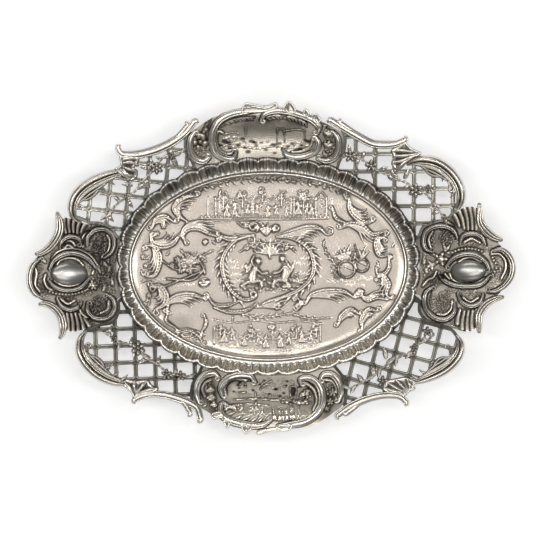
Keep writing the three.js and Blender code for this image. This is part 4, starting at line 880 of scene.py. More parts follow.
def new_tree(name, inputs):
    tree = bpy.data.node_groups.new(name, "GeometryNodeTree")
    tree.interface.new_socket("Geometry", in_out="INPUT", socket_type="NodeSocketGeometry")
    tree.interface.new_socket("Geometry", in_out="OUTPUT", socket_type="NodeSocketGeometry")
    for key, value in inputs.items():
        kind = {float: "Float", int: "Int"}.get(type(value), "Material")
        socket = tree.interface.new_socket(key, in_out="INPUT", socket_type="NodeSocket" + kind)
        if value is not None:
            socket.default_value = value
    source = tree.nodes.new("NodeGroupInput")
    given = {socket.name: Val(tree, socket) for socket in source.outputs if socket.name}
    return tree, given


def end_tree(tree, geometry, given):
    whole = put(tree, "GeometryNodeRealizeInstances", {0: geometry})
    soft = put(tree, "GeometryNodeSetShadeSmooth", {0: whole})
    painted = put(tree, "GeometryNodeSetMaterial", {0: soft, "Material": given["Material"]})
    output = tree.nodes.new("NodeGroupOutput")
    tree.links.new(painted.socket, output.inputs[0])


def grown(base, tree, name, **inputs):
    """The mesh that a tree of geometry nodes makes of a base object, as a new object; the base goes."""
    modifier = base.modifiers.new(name, "NODES")
    modifier.node_group = tree
    keys = {item.name: item.identifier for item in tree.interface.items_tree if item.in_out == "INPUT"}
    for key, value in inputs.items():
        modifier[keys[key.replace("_", " ")]] = value
    base.update_tag()
    graph = bpy.context.evaluated_depsgraph_get()
    mesh = bpy.data.meshes.new_from_object(base.evaluated_get(graph))
    mesh.name = name
    bpy.data.objects.remove(base)
    return linked(name, mesh)


def sweep_tree():
    """Sweeps a crowned, channelled section along lines whose points carry a half width."""
    tree, given = new_tree("scroll_sweep", {
        "Crown": 0.95,
        "Flatness": 2.4,
        "Channel": 0.5,
        "Channel place": 0.1,
        "Channel width": 0.28,
        "Second": 0.0,
        "Second place": 0.6,
        "Second width": 0.13,
        "Section points": 19,
        "Material": None,
    })
    line = put(tree, "GeometryNodeMeshToCurve", {0: given["Geometry"]})
    line = put(tree, "GeometryNodeSetCurveNormal", {0: line}, mode="Z_UP")
    ruler = put(tree, "GeometryNodeCurvePrimitiveLine", {"Start": (-1, 0, 0), "End": (1, 0, 0)})
    ruler = put(tree, "GeometryNodeResampleCurve", {0: ruler, "Count": given["Section points"]}, mode="COUNT")
    spot = put(tree, "GeometryNodeInputPosition")
    across = put(tree, "ShaderNodeSeparateXYZ", {0: spot}, out="X")
    size = across.one("ABSOLUTE")
    bulge = (1 - size ** given["Flatness"]).max(0.0) ** 0.5
    up = given["Crown"] * bulge
    for channel in ("Channel", "Second"):
        away = (across - given[channel + " place"]) / given[channel + " width"]
        up = up * (1 - given[channel] * (math.e ** (0 - away * away)))
    section = put(tree, "GeometryNodeSetPosition", {0: ruler, "Position": put(
        tree, "ShaderNodeCombineXYZ", {0: across, 1: 0 - up, 2: 0.0})})
    section = put(tree, "GeometryNodeSetSplineCyclic", {0: section, "Cyclic": True})
    half = put(tree, "GeometryNodeInputNamedAttribute", {"Name": "half"})
    swept = put(tree, "GeometryNodeCurveToMesh", {
        "Curve": line, "Profile Curve": section, "Scale": half, "Fill Caps": True})
    end_tree(tree, swept, given)
    return tree


SWEEP = sweep_tree()


def line_base(name, lines):
    """Lines of x, y and half width as bare edges, sunk into the border or at heights of their own."""
    verts, halves, edges = [], [], []
    for rows in lines:
        start = sum(len(v) for v in verts)
        x, y, half, *own = rows.T
        z = own[0] if own else sheet(x, y) - SUNK
        verts.append(np.column_stack([x + SHIFT[0], y + SHIFT[1], z]) * MM)
        halves.append(half * MM)
        edges += [(start + k, start + k + 1) for k in range(len(x) - 1)]
    verts = np.vstack(verts)
    mesh = bpy.data.meshes.new(name)
    mesh.from_pydata(verts.tolist(), edges, [])
    marked(mesh, "half", np.concatenate(halves))
    return linked(name, mesh)


def swept(node, lines, slot, fuller, age_and_shade, **inputs):
    """A node's scrolls, swept along their lines: wider by a factor, and darker by a given amount, partly
    tarnish and partly painted shade.
    """
    lines = [np.column_stack([rows[:, :2], rows[:, 2] * fuller, rows[:, 3:]]) for rows in lines]
    base = line_base(f"{node}_line", lines)
    piece = grown(base, SWEEP, f"{node}_silver", Material=MATERIALS[slot], **inputs)
    curvature_marks(piece, age_and_shade)
    finished(piece, slot, node)


# The well: thread and fluted wall

def oval_base(name):
    """The well's oval as bare edges."""
    turn = np.linspace(0, 2 * math.pi, ROUND, endpoint=False)
    co = np.column_stack([MIDDLE[0] + SHIFT[0] + WELL[0] * np.cos(turn),
                          MIDDLE[1] + SHIFT[1] + WELL[1] * np.sin(turn), np.zeros(ROUND)]) * MM
    mesh = bpy.data.meshes.new(name)
    mesh.from_pydata(co.tolist(), [(k, (k + 1) % ROUND) for k in range(ROUND)], [])
    return linked(name, mesh)


def wall_tree():
    """Bends a grid round the base oval: its columns follow the line's length and its rows climb the wall."""
    tree, given = new_tree("fluted_wall", {
        "Groups": 38.0, "Flutes in group": 3.0, "Flute depth": 2.0, "Scallop": 2.3, "Foot run": 1.6,
        "Neck": 6.2, "Foot": FOOT, "Lip": LIP, "Lip run": LIP_RUN, "Columns": 2052, "Rows": 33,
        "Material": None})
    line = put(tree, "GeometryNodeMeshToCurve", {0: given["Geometry"]})
    line = put(tree, "GeometryNodeSetCurveNormal", {0: line}, mode="Z_UP")
    grid = put(tree, "GeometryNodeMeshGrid", {
        "Size X": 1.0, "Size Y": 1.0, "Vertices X": given["Columns"], "Vertices Y": given["Rows"]})
    spot = put(tree, "GeometryNodeInputPosition")
    along = put(tree, "ShaderNodeSeparateXYZ", {0: spot}, out="X") + 0.5
    climb = put(tree, "ShaderNodeSeparateXYZ", {0: spot}, out="Y") + 0.5
    at, ahead = (put(tree, "GeometryNodeSampleCurve", {"Curves": line, "Factor": along}, out, mode="FACTOR")
                 for out in ("Position", "Tangent"))
    outward = put(tree, "ShaderNodeVectorMath", {0: ahead, 1: (0.0, 0.0, 1.0)}, operation="CROSS_PRODUCT")
    share = (climb / NECK_SHARE).min(1.0)
    lip = ((climb - NECK_SHARE) / (1 - NECK_SHARE)).max(0.0)
    turn = share * (0.5 * math.pi)
    rise = given["Lip"] - given["Foot"] - 0.5
    run = given["Foot run"] + given["Neck"] * turn.one("SINE")
    up = given["Foot"] + rise * (1 - turn.one("COSINE"))
    phase = along * given["Groups"]
    group = (phase * math.pi).one("SINE").one("ABSOLUTE")
    within = ((phase.one("FRACT") - 0.02) / 0.96).clamped()
    hollow = (within * given["Flutes in group"] * math.pi).one("SINE").one("ABSOLUTE") ** 0.75
    each = (phase * given["Flutes in group"]).one("FLOOR")
    uneven = 0.7 + 0.45 * put(tree, "ShaderNodeTexWhiteNoise", {"W": each}, noise_dimensions="1D")
    fade = (share * (0.9 * math.pi)).one("SINE").max(0.0) ** 1.2 * (1 - lip)
    flute = given["Flute depth"] * fade * uneven * (hollow - 0.45)
    out = run + flute * 0.75 + lip * (given["Lip run"] - given["Foot run"] - given["Neck"])
    place = put(tree, "ShaderNodeSeparateXYZ", {0: at}, out="X") / (WELL[0] * MM)
    depth = put(tree, "ShaderNodeSeparateXYZ", {0: at}, out="Y") / (WELL[1] * MM)
    corner = 3.6 * (place * depth).one("ABSOLUTE") - 1.6 * (place * place * place).one("ABSOLUTE")
    out = out + (corner - given["Scallop"] * (1 - group ** 0.6)) * (share * share * share)
    roll = (lip * math.pi).one("SINE") * 0.9 - lip * 0.5
    height = up - flute * 0.5 + roll
    streak = put(tree, "ShaderNodeTexNoise", {"W": phase * 16, "Scale": 1.0, "Detail": 2.0},
                 noise_dimensions="1D")
    # Darkening of the wall: its flutes' hollows as tarnish; painted shade deeper in the hollows at the back,
    # over the back and both ends, over the foot and the lip except at the front, and along the lip's outer
    # edge to dim its bright line; streaks vary it at random.
    deep = ((hollow - 0.38) * 3.2).clamped() * ((share - 0.04) * 3.4).clamped() * (1 - lip * 2.2).max(0.0)
    edge = ((lip - 0.55) * 2.4).clamped()
    foot = (((0.32 - share) * 3.2).clamped() + (lip * 3.0).clamped() * 0.8) * (depth * 1.3 + 0.9).clamped()
    tarnish_and_shade = 0.16 * (place * place * place).one("ABSOLUTE") + 0.12 * depth.max(0.0) + 0.45 * foot
    dark = (0.06 + tarnish_and_shade + (0.46 + 0.16 * depth) * deep * uneven + 0.5 * edge + (streak - 0.5) * 1.7).clamped()
    grid = put(tree, "GeometryNodeStoreNamedAttribute", {0: grid, "Name": "patina_and_shade", "Value": dark},
               data_type="FLOAT")
    moved = at + outward * (out * MM) + put(tree, "ShaderNodeCombineXYZ", {2: height * MM})
    wall = put(tree, "GeometryNodeSetPosition", {0: grid, "Position": moved})
    wall = put(tree, "GeometryNodeMergeByDistance", {0: wall, "Distance": 0.00001})
    end_tree(tree, wall, given)
    return tree


wall = grown(oval_base("wall_line"), wall_tree(), "fluted_wall_silver", Material=MATERIALS["wall_silver"])
finished(wall, "wall_silver", "fluted_wall")


def thread_rows():
    """The thread's moulding: a rounded roll between two fine fillets, as run and height."""
    turn = np.linspace(math.pi, 0, 11)
    roll = np.column_stack([0.78 * np.cos(turn), 2.35 + 1.0 * np.sin(turn)])
    fillet = np.array([(1.3, 1.3), (1.25, 2.0), (0.95, 2.15)])
    return np.vstack([fillet * (-1, 1), roll, fillet[::-1]])


def thread_piece():
    section = thread_rows()
    turn = np.linspace(0, 2 * math.pi, ROUND, endpoint=False)
    rows = [np.column_stack([MIDDLE[0] + (WELL[0] + run) * np.cos(turn),
                             MIDDLE[1] + (WELL[1] + run) * np.sin(turn), np.full(ROUND, up)])
            for run, up in section]
    k = np.arange(ROUND)
    n = (k + 1) % ROUND
    faces = [np.column_stack([ROUND + k, ROUND + n, n, k]) + r * ROUND for r in range(len(section) - 1)]
    # Painted shade with tarnish low on the moulding, beside the floor and the wall; clean on its crown.
    tarnish_and_shade = np.repeat(np.clip(0.9 - 0.55 * (section[:, 1] - 1.6), 0.05, 0.8), ROUND)
    piece = mesh_piece("well_thread_silver", np.vstack(rows), np.vstack(faces), tarnish_and_shade, sharp=50)
    finished(piece, "bright_silver", "well_thread")


thread_piece()

# Trellis panels

plate_levels = {side: outline_level(outline) for side, outline in PLATES.items()}


def trellis(corner, panel):
    """A pierced panel: square holes with round corners, left out where the border of the panel comes near."""
    around = outline_level(panel["outline"])
    beside = [plate_levels[side] for side in corner.split("_")]
    turn = math.radians(panel["turn"])
    pitch = panel["pitch"]
    front = "front" in corner

    def grid_place(x, y):
        """Where a place lies from the middle of its own cell."""
        dx, dy = x - panel["cell"][0], y - panel["cell"][1]
        u = (dx * math.cos(turn) + dy * math.sin(turn)) / pitch[0]
        v = (dy * math.cos(turn) - dx * math.sin(turn)) / pitch[1]
        return (u - np.round(u)) * pitch[0], (v - np.round(v)) * pitch[1]

    def ground(x, y):
        level = np.minimum(around(x, y), oval_field(x, y, BORDER_START))
        for other in beside:
            level = np.minimum(level, -other(x, y) + 0.1)
        return level

    def hole(x, y):
        u, v = grid_place(x, y)
        du, dv = (np.abs(w) - (run - BAR) / 2 + CORNER_RADIUS for w, run in ((u, pitch[0]), (v, pitch[1])))
        outside = np.hypot(np.maximum(du, 0), np.maximum(dv, 0)) + np.minimum(np.maximum(du, dv), 0)
        return -np.maximum(outside - CORNER_RADIUS, -(ground(x, y) - MARGIN))

    def inside(x, y):
        return np.minimum(ground(x, y), -hole(x, y))

    def detail(x, y):
        """Raised edges, a line along each bar and a dot at each crossing."""
        level = inside(x, y)
        u, v = grid_place(x, y)
        across = np.minimum(np.abs(np.abs(u) - pitch[0] / 2), np.abs(np.abs(v) - pitch[1] / 2))
        both = np.hypot(np.abs(u) - pitch[0] / 2, np.abs(v) - pitch[1] / 2)
        edge = 0.28 * np.exp(-((level - 0.55) / 0.32) ** 2) - 0.5 * np.clip(1 - level / 0.35, 0, 1) ** 2
        line = 0.16 * np.exp(-(across / 0.28) ** 2) * (level < 2)
        dot = 0.55 * np.exp(-(both / 0.55) ** 2) - 0.2 * np.exp(-((both - 1.05) / 0.25) ** 2)
        return edge + line + dot

    def patina_and_shade(x, y):
        # Lighter along the raised edges, partly rubbed bright and partly painted highlight; painted shade
        # over the front panels, at the cut edges, near the panel's border and under the wall.
        level = inside(x, y)
        value = (0.95 if front else 0.5) - 0.6 * np.exp(-((level - 0.6) / 0.35) ** 2)
        value = value + 0.45 * np.clip(1 - level / 0.3, 0, 1)
        value = value + 0.5 * np.clip(1 - (ground(x, y) - 3) / 1.2, 0, 1)
        return np.clip(value + 0.4 * np.clip(1 - oval_field(x, y, 10.0) / 2.5, 0, 1), 0, 1)

    piece = plate_piece(f"trellis_{corner}_silver", box_of(panel["outline"]), TRELLIS_GRID, inside,
                        lambda x, y: sheet(x, y) + detail(x, y), patina_and_shade)
    finished(piece, "trellis_silver", f"trellis_{corner}")


for corner, panel in PANELS.items():
    trellis(corner, panel)

# Motifs of the chasing

def blade(relief, x, y, heading, length, half, height, bend=0.0):
    """A pointed leaf: where it roots, its heading and bend in degrees, its length and half width."""
    root = np.array([x, y], float)
    turn = np.radians(heading + bend * np.linspace(0, 1, 7))
    steps = length / 6 * np.column_stack([np.cos(turn), np.sin(turn)])[:-1]
    line = np.vstack([root, root + np.cumsum(steps, 0)])
    halves = half * np.array([0.5, 0.85, 1, 0.95, 0.75, 0.5, 0.22])
    relief.stroke(smooth(np.column_stack([line, halves]), 0.3), height, "leaf")


def rosette(relief, x, y, radius, height, petals=5):
    for k in range(petals):
        angle = 90 + k * 360 / petals
        a = math.radians(angle)
        relief.dome(x + 0.6 * radius * math.cos(a), y + 0.6 * radius * math.sin(a),
                    0.42 * radius, 0.3 * radius, height, angle)
    relief.dome(x, y, 0.3 * radius, 0.3 * radius, 1.25 * height)


FAN = 50


def leafy(relief, points, half, height, leaves, size):
    """A stem with leaves along it and one at its tip."""
    rows = smooth([(*point[:2], half) for point in points], 0.35)
    relief.stroke(rows, height, "round")
    for k in range(leaves):
        i = int((0.12 + 0.8 * k / max(1, leaves)) * (len(rows) - 4)) + 1
        head = math.degrees(math.atan2(*(rows[i + 2, :2] - rows[i - 1, :2])[::-1]))
        side = 1 - 2 * (k % 2)
        blade(relief, *rows[i, :2], head + side * FAN, size * (1 - 0.3 * k / leaves), 0.2 * size + 0.15,
              height, -side * FAN * 0.6)
    head = math.degrees(math.atan2(*(rows[-1, :2] - rows[-3, :2])[::-1]))
    blade(relief, *rows[-2, :2], head, size * 0.8, 0.18 * size, height)


def comb(relief, line, side, count, size, half, height, span=(0.1, 0.9), *, lean, curl=30):
    """Leaves in a row along one side of a line of x, y, half width: side is 1 for the left of its run."""
    rows = smooth(line, 0.4)
    for share in np.linspace(*span, count):
        i = int(share * (len(rows) - 6)) + 2
        ahead = rows[i + 2, :2] - rows[i - 2, :2]
        ahead /= np.hypot(*ahead)
        root = rows[i, :2] + side * np.array([-ahead[1], ahead[0]]) * rows[i, 2] * 0.9
        head = math.degrees(math.atan2(ahead[1], ahead[0]))
        blade(relief, *root, head + side * lean, size, half, height, side * curl)


def nested(relief, line, side, count, pitch, half, height, span, tips=0.0):
    """Long leaves side by side along one edge of a line of x, y, half width. Tips part them at their ends."""
    rows = smooth(line, 0.5)
    ahead = np.gradient(rows[:, :2], axis=0)
    ahead /= np.hypot(*ahead.T)[:, None]
    inward = side * np.column_stack([-ahead[:, 1], ahead[:, 0]])
    share = np.linspace(0, 1, len(rows))
    for k in range(count):
        part = (share > span[0] + 0.05 * k) & (share < span[1] - 0.12 * k)
        run = np.linspace(0, 1, part.sum())
        swell = np.sin(math.pi * run)
        apart = run ** 0.6 + 0.5 * run ** 4 if tips else swell.clip(0) ** 0.5
        off = rows[part, 2] + pitch * (k + 0.35) * apart + tips * run ** 5
        line = rows[part, :2] + inward[part] * off[:, None]
        relief.stroke(np.column_stack([line, half * (0.43 + 0.57 * swell)]), height)


def cluster(relief, x, y, a, b, size, height, count, seed):
    """Foliage, fruit or ground as small knobs within an oval."""
    rng = np.random.default_rng(seed)
    for _ in range(count):
        r, t = math.sqrt(rng.random()), rng.random() * 2 * math.pi
        knob = size * rng.uniform(0.65, 1.2)
        relief.dome(x + a * r * math.cos(t), y + b * r * math.sin(t), knob, knob * rng.uniform(0.6, 1),
                    height * rng.uniform(0.7, 1.1), rng.uniform(0, 180))


def tuft(relief, x, y, wide, seed, tall, count, height):
    """Grass: short upright blades along a line."""
    rng = np.random.default_rng(seed)
    for k in range(count):
        root = (x + wide * (k / max(1, count - 1) - 0.5), y + rng.uniform(-0.6, 0.6))
        blade(relief, *root, rng.uniform(65, 115), tall * rng.uniform(0.6, 1.1), 0.42, height,
              rng.uniform(-30, 30))


def tree(relief, x, y, tall, spread, seed, height):
    """A trunk under a crown of foliage."""
    trunk = [(x, y, 0.6), (x + 0.3, y + 0.5 * tall, 0.5), (x, y + 0.75 * tall, 0.4)]
    relief.stroke(smooth(trunk, 0.4), height)
    cluster(relief, x, y + 0.75 * tall, spread, 0.32 * tall, 0.95, height, int(5 * spread), seed)


def villager(relief, x, y, tall, facing, gown, height):
    """A little figure in a landscape, turned to 1 right or -1 left, in a gown with folds or in hose."""
    def limb(*places):
        relief.stroke(smooth([(px, py, half * tall) for px, py, half in places], 0.3), 0.9 * height)

    neck, waist = y + 0.8 * tall, y + 0.52 * tall
    lean = 0.06 * facing * tall
    relief.dome(x + lean, y + 0.9 * tall, 0.085 * tall, 0.1 * tall, 1.2 * height)
    relief.stroke(smooth([(x + lean, neck, 0.1 * tall), (x, waist, 0.075 * tall)], 0.3), height)
    for reachout, low in ((0.34, 0.62), (-0.22, 0.5)):
        limb((x + 0.6 * lean, neck, 0.05), (x + facing * 0.6 * reachout * tall, y + 0.6 * tall, 0.045),
             (x + facing * reachout * tall, y + low * tall, 0.035))
    for fold in (-0.2, -0.07, 0.07, 0.2) if gown else (-0.13, 0.12):
        limb((x + 0.2 * fold * tall, waist, 0.05), (x + 0.7 * fold * tall, y + 0.25 * tall, 0.07),
             (x + fold * tall, y, 0.06))


def trail(relief, points, half, height, shape="round"):
    """A stroke of one half width, where its points don't bring their own."""
    relief.stroke(smooth([(*p, half) if len(p) == 2 else p for p in points], 0.35), height, shape)


def trails(relief, lines, half, height):
    for line in lines:
        trail(relief, line, half, height)


def each(draw, relief, rows, *shared):
    """Draws one motif for every row of numbers, with the same last numbers for all of them."""
    for row in rows:
        draw(relief, *row, *shared)


def oval_ring(x, y, a, b, half, count):
    """A closed line round an oval."""
    turns = np.radians(np.linspace(0, 360, count))
    return smooth([(x + a * math.cos(t), y + b * math.sin(t), half) for t in turns], 0.4)


# The chased floor of the well

well = Relief(MIDDLE[0] - 94, MIDDLE[1] - 64, MIDDLE[0] + 94, MIDDLE[1] + 64, WELL_STEP, 0.22)
SCROLL_HEIGHT = 1.05


# Each scroll: half width, radii of its end curls, number of leaves beside it, their side, line.
WELL_SCROLLS = (
    (
        1.9,
        (1.8, 1.8),
        3,
        1,
        [(-57.7, 16.4), (-58.5, 21.4), (-55.2, 25.4), (-48.6, 26.2), (-41.2, 23), (-33.9, 20.5)],
    ),
    (2.0, (0, 3.4), 0, 1, [(-35.5, 23.2), (-29, 19.4), (-21, 19.6), (-13.6, 21.6)]),
    (2.0, (0, 3.2), 3, -1, [(6, 21.4), (17, 24.6), (26, 27), (34, 26.4), (38, 22.6)]),
    (1.9, (1.8, 2), 3, -1, [(48.1, 26.3), (54.6, 29.5), (62.8, 27.9), (70.2, 22.2), (78.4, 24.6)]),
    (
        2.0,
        (1.6, 2.2),
        3,
        -1,
        [(-69.1, -29.5), (-68.3, -23.7), (-62.6, -19.6), (-51.9, -18.8), (-43.7, -21.3)],
    ),
    (1.5, (2.2, 0), 0, 1, [(-41.5, -20.2), (-37.2, -25.3), (-29, -26), (-21.4, -23.4)]),
    (1.5, (0, 0), 0, 1, [(-38, -27.4), (-26.5, -30.4), (-15, -29), (-8.4, -24.2)]),
    (1.8, (1.8, 0), 3, -1, [(-7.9, -27.2), (-2.8, -24.8), (4.2, -22.2), (12.5, -19)]),
    (1.6, (2.2, 2.6), 0, 1, [(19, -20.4), (21.6, -24.4), (20.6, -28)]),
    (1.9, (1.8, 2), 3, -1, [(25, -24.4), (27.6, -19.4), (35, -16.6), (51, -16.6), (57.4, -20.6)]),
    (1.8, (1.8, 1.8), 3, -1, [(-79.8, 26.2), (-76.5, 32.8), (-70.8, 34.5), (-64.2, 30.4)]),
    (2.2, (1.8, 1.8), 3, 1, [(-80.6, 21.4), (-79, 16.4), (-72.4, 14), (-65, 16.4), (-60.9, 22.2)]),
    (
        2.0,
        (1.8, 1.8),
        3,
        -1,
        [(-83.9, 14.8), (-79.8, 14.8), (-74.9, 9.1), (-74.9, 0.9), (-78.2, -5.7), (-83, -6.5)],
    ),
    (2.0, (1.9, 2.4), 3, -1, [(-80.6, -13.1), (-74, -13.1), (-70, -18.8), (-71.6, -25.4), (-77.4, -28.7)]),
    (
        1.6,
        (1.6, 1.6),
        3,
        -1,
        [(-55.2, 30.4), (-61.7, 34.5), (-65, 39.4), (-61.7, 44.3), (-55.2, 47.5), (-48.6, 48.4)],
    ),
    (1.3, (1.4, 1.6), 0, 1, [(-69.1, -31.1), (-70, -36), (-62.6, -41.7)]),
    (1.4, (1.5, 1.4), 0, 1, [(-43.7, -32.7), (-42.9, -37.7), (-46.2, -45)]),
    (1.4, (1.4, 1.4), 0, 1, [(-61.7, -44.2), (-55.2, -42.6), (-47.8, -46.7), (-45.4, -51.6)]),
    (1.8, (1.6, 1.6), 3, 1, [(78.4, 19.7), (73.5, 19.7), (71.9, 14.8), (74.3, 8.2), (81.7, 8.2)]),
    (1.6, (1.4, 1.6), 0, 1, [(80.9, 6.6), (80.9, 0), (78.4, -4.1), (73.5, -4.9), (71.9, -0.8)]),
    (1.7, (1.4, 1.5), 3, -1, [(71.9, -7.4), (76.7, -5.7), (80.9, -11.4), (79.2, -18), (82.5, -21.3)]),
    (2.0, (1.6, 1.8), 3, 1, [(53.8, 46.7), (54.6, 38.5), (59.6, 32.8), (66.1, 30.4), (70.2, 31.2)]),
    (1.6, (1.6, 1.4), 0, 1, [(43.1, 40.2), (44.8, 33.6), (51.4, 30.4)]),
    (1.8, (1.6, 1.6), 2, -1, [(46.5, -39.3), (48.9, -32.7), (55.4, -28.7), (61.2, -31.9)]),
    (1.8, (1.6, 1.6), 2, -1, [(62.8, -42.6), (62, -36), (66.9, -28.7), (73.5, -29.5)]),
    (1.6, (2.2, 1.4), 2, 1, [(61.2, -18), (66, -22.4), (73, -20.6), (79.4, -22)]),
)
# The two halves of the middle oval's frame.
FRAME_LEFT = [
    (-10.4, 21.6), (-22.7, 18.1), (-29, 11.7), (-32.3, 2.8), (-31.6, -4.9), (-28.4, -12.6), (-22.7, -19),
    (-15.6, -22.2), (-10.6, -21),
]
FRAME_RIGHT = [
    (4.9, 20.7), (13.8, 20), (21.5, 16.8), (27.3, 11.1), (29.8, 3.4), (29.8, -3), (26.6, -9.4), (20.2, -15.2),
    (12.5, -19), (4.2, -22.2),
]


def well_frames():
    """The middle oval's leafy frame, its crest, and the scrolls that part the well into fields."""
    for half, (start, end), leaves, side, points in WELL_SCROLLS:
        line = tapered(points, half)
        well.stroke(curled(line, start, end, 0.35), SCROLL_HEIGHT, "roll")
        nested(well, line, side, leaves, 1.5, 0.8, 0.85 * SCROLL_HEIGHT, (0.06, 0.96), 1.6)
    for points, outer, curl in ((FRAME_LEFT, -1, (0, 2.6)), (FRAME_RIGHT, 1, (0, 0))):
        rows = tapered(points, 1.7, (0.5, 0.7))
        comb(well, rows, outer, 12, 7.4, 1.0, 0.9, (0.1, 0.86), lean=16, curl=22)
        comb(well, rows, -outer, 11, 4.8, 0.8, 0.75, (0.2, 0.8), lean=24, curl=36)
        well.stroke(curled(rows, *curl, 0.35), 1.15, "roll")
    # The crest: two spirals with a fan of leaves and a row of beads between them.
    for x, y, heading, side, radius in ((-13.4, 23.4, (0.9, 0.4), 1, 3.8), (7.4, 23.4, (-0.9, 0.4), -1, 2.5)):
        well.stroke(spiral((x + 3.85 * side, y + 0.4, 1.3), heading, side, radius, 1.2), 1.2)
    for bend in (-30, -12, 8, 28):
        blade(well, -2.4, 21.4, 90 - bend, 9.0, 1.5, 0.95, -bend)
    for k in range(5):
        well.dome(-2.6 + 0.3 * k, 22.5 + 1.6 * k, 0.7, 0.7, 1.1)
    for x, y, radius in (
        (-34.4, 18.6, 1.9), (5.3, -26.9, 2.4), (19.5, -26.6, 2.2), (61.2, -18, 3.0), (-79, -14.7, 2.6),
        (-43.6, 16.6, 1.6),
    ):
        well.stroke(spiral((x + radius, y, 1.0), (0, 1), 1, radius, 1.3), 1.0)


def putto(head, body, arms, legs):
    """A seated child without any particular face: round head, curls, soft body and limbs."""
    x, y = head
    well.dome(x, y, 2.5, 2.7, 1.0, power=1.7)
    cluster(well, x, y + 1.4, 2.0, 1.0, 0.7, 1.2, 12, 17)
    trail(well, [(px, py, 1.2 * half) for px, py, half in body], 2.2, 0.9, "soft")
    for line in arms:
        trail(well, line, 1.1, 0.85)
    for line in legs:
        trail(well, line, 1.6, 0.85)


def well_middle():
    """Two putti under a tree, in the middle oval."""
    trail(well, [(0.3, 6, 0.9), (-0.4, 9, 0.9), (0, 13, 0.7)], 0.9, 0.7)
    for heading in range(12, 170, 19):
        blade(well, 0.1, 8.5, heading, 11.5, 1.05, 0.85, 0.25 * (heading - 90))
    for side, reachout in ((-1, 19), (1, 17)):
        branch = [(side, 15.5), (side * 7, 16.5), (side * 12, 14.8), (side * reachout, 11)]
        leafy(well, branch, 0.5, 0.9, 7, 3.6)
        cluster(well, side * 10.5, 12.6, 2.8, 1.8, 0.75, 1.0, 12, 11 + side)
        cluster(well, side * 15.5, 13.2, 2.0, 1.5, 0.7, 0.9, 8, 14 + side)
    putto((-7.6, 3.5), [(-9.5, -0.5, 1.9), (-11.2, -5, 2.4), (-11.6, -9.3, 2.5)],
          [[(-9.8, 0), (-12.2, 3.6), (-10.5, 7.4)], [(-8.2, -1.5), (-5, -4.4), (-1.8, -3.6)]],
          [[(-11.5, -9.5), (-15.2, -10.2), (-18.8, -12.8)], [(-10.5, -9.8), (-6.6, -9.2), (-5.2, -12.8)]])
    putto((8.8, 5.2), [(10.6, 0.6, 1.9), (11.4, -3.6, 2.5), (10.2, -8.4, 2.6)],
          [[(9.6, 0.2), (6.4, -3.4), (2.6, -4.2)], [(11.8, 0.4), (13.6, -3.4), (12.2, -7)]],
          [[(10, -8.8), (5.8, -8.6), (2.4, -11.6)], [(10.6, -9.2), (13.4, -12), (9.6, -13.4)]])
    each(rosette, well, (
        (-3.4, -8.4), (-0.4, -10.6), (-5.2, -12.6), (2.4, -13.4), (-1.6, -14.4), (-8.6, -14), (5.8, -12.2),
        (0.6, -6.4), (-2, -4.6), (3.4, -8.8), (-16.6, -14.6), (13.4, -13.6), (-13, -15.4),
    ), 1.7, 0.9)
    for side in (-1, 1):
        blade(well, side * 14, -2.5, 90 + side * 10, 8, 1.3, 0.8, side * 30)
        blade(well, side * 14.5, -3.5, 90 - side * 24, 7, 1.2, 0.8, side * 30)
        cluster(well, side * 16.5, -7, 3, 4.5, 0.7, 0.7, 22, 27 + side)
    each(tuft, well, (
        (-21, -1, 8, 1), (-22, -6, 8, 2), (-20, -10, 8, 3), (21, 1, 9, 4), (22, -5, 8, 5), (18, -10, 8, 6),
        (-24, 3, 4, 7), (24, 5, 4, 8),
    ), 2.6, 7, 0.45)
    cluster(well, 0, -15.6, 12, 1.6, 0.6, 0.6, 34, 21)


def trophy_left():
    """Garden tools, a straw hat, sheaves and leaves."""
    trail(well, [(-71.5, -13.4), (-45, -2.6)], 0.62, 1.1)
    trail(well, [(-69.5, -8), (-52, -8.5), (-44, -2)], 0.7, 1.0)
    trail(well, [(-73, 4.6), (-66, -0.6), (-58, -3)], 0.6, 0.9)
    well.dome(-44.2, -10.6, 4.3, 3.2, 0.9, 15)
    well.dome(-44.4, -10.2, 2.2, 1.6, 1.3, 15)
    for heading, size in (
        (20, 9), (42, 11), (62, 9), (85, 9), (108, 9), (132, 10), (155, 9), (178, 7), (-20, 7),
    ):
        blade(well, -56, 0.5, heading, size, 1.15, 1.0, 14)
    leafy(well, [(-52, 2), (-47, 6.4), (-41, 10.2)], 0.4, 0.8, 5, 3.2)
    cluster(well, -57.5, 0.4, 5.2, 3.6, 1.0, 1.15, 30, 31)
    each(rosette, well, (
        (-60.5, -2.6, 2.3), (-53.6, -3.4, 2.1), (-62.4, 5, 2.6), (-55.4, 7.6, 2.5), (-49.4, 3.6, 2.2),
        (-58, 1.6, 2.6), (-66, 1.4, 2.0),
    ), 1.2)
    cluster(well, -53, 3.4, 11, 7, 0.75, 0.75, 60, 36)
    trail(well, [(-47.6, 4.4), (-45, 0), (-43.8, -4.5)], 0.85, 1.1)
    tuft(well, -59, -12.5, 16, 33, 2.4, 10, 0.5)
    tuft(well, -74, -9.5, 6, 34, 2.4, 5, 0.5)


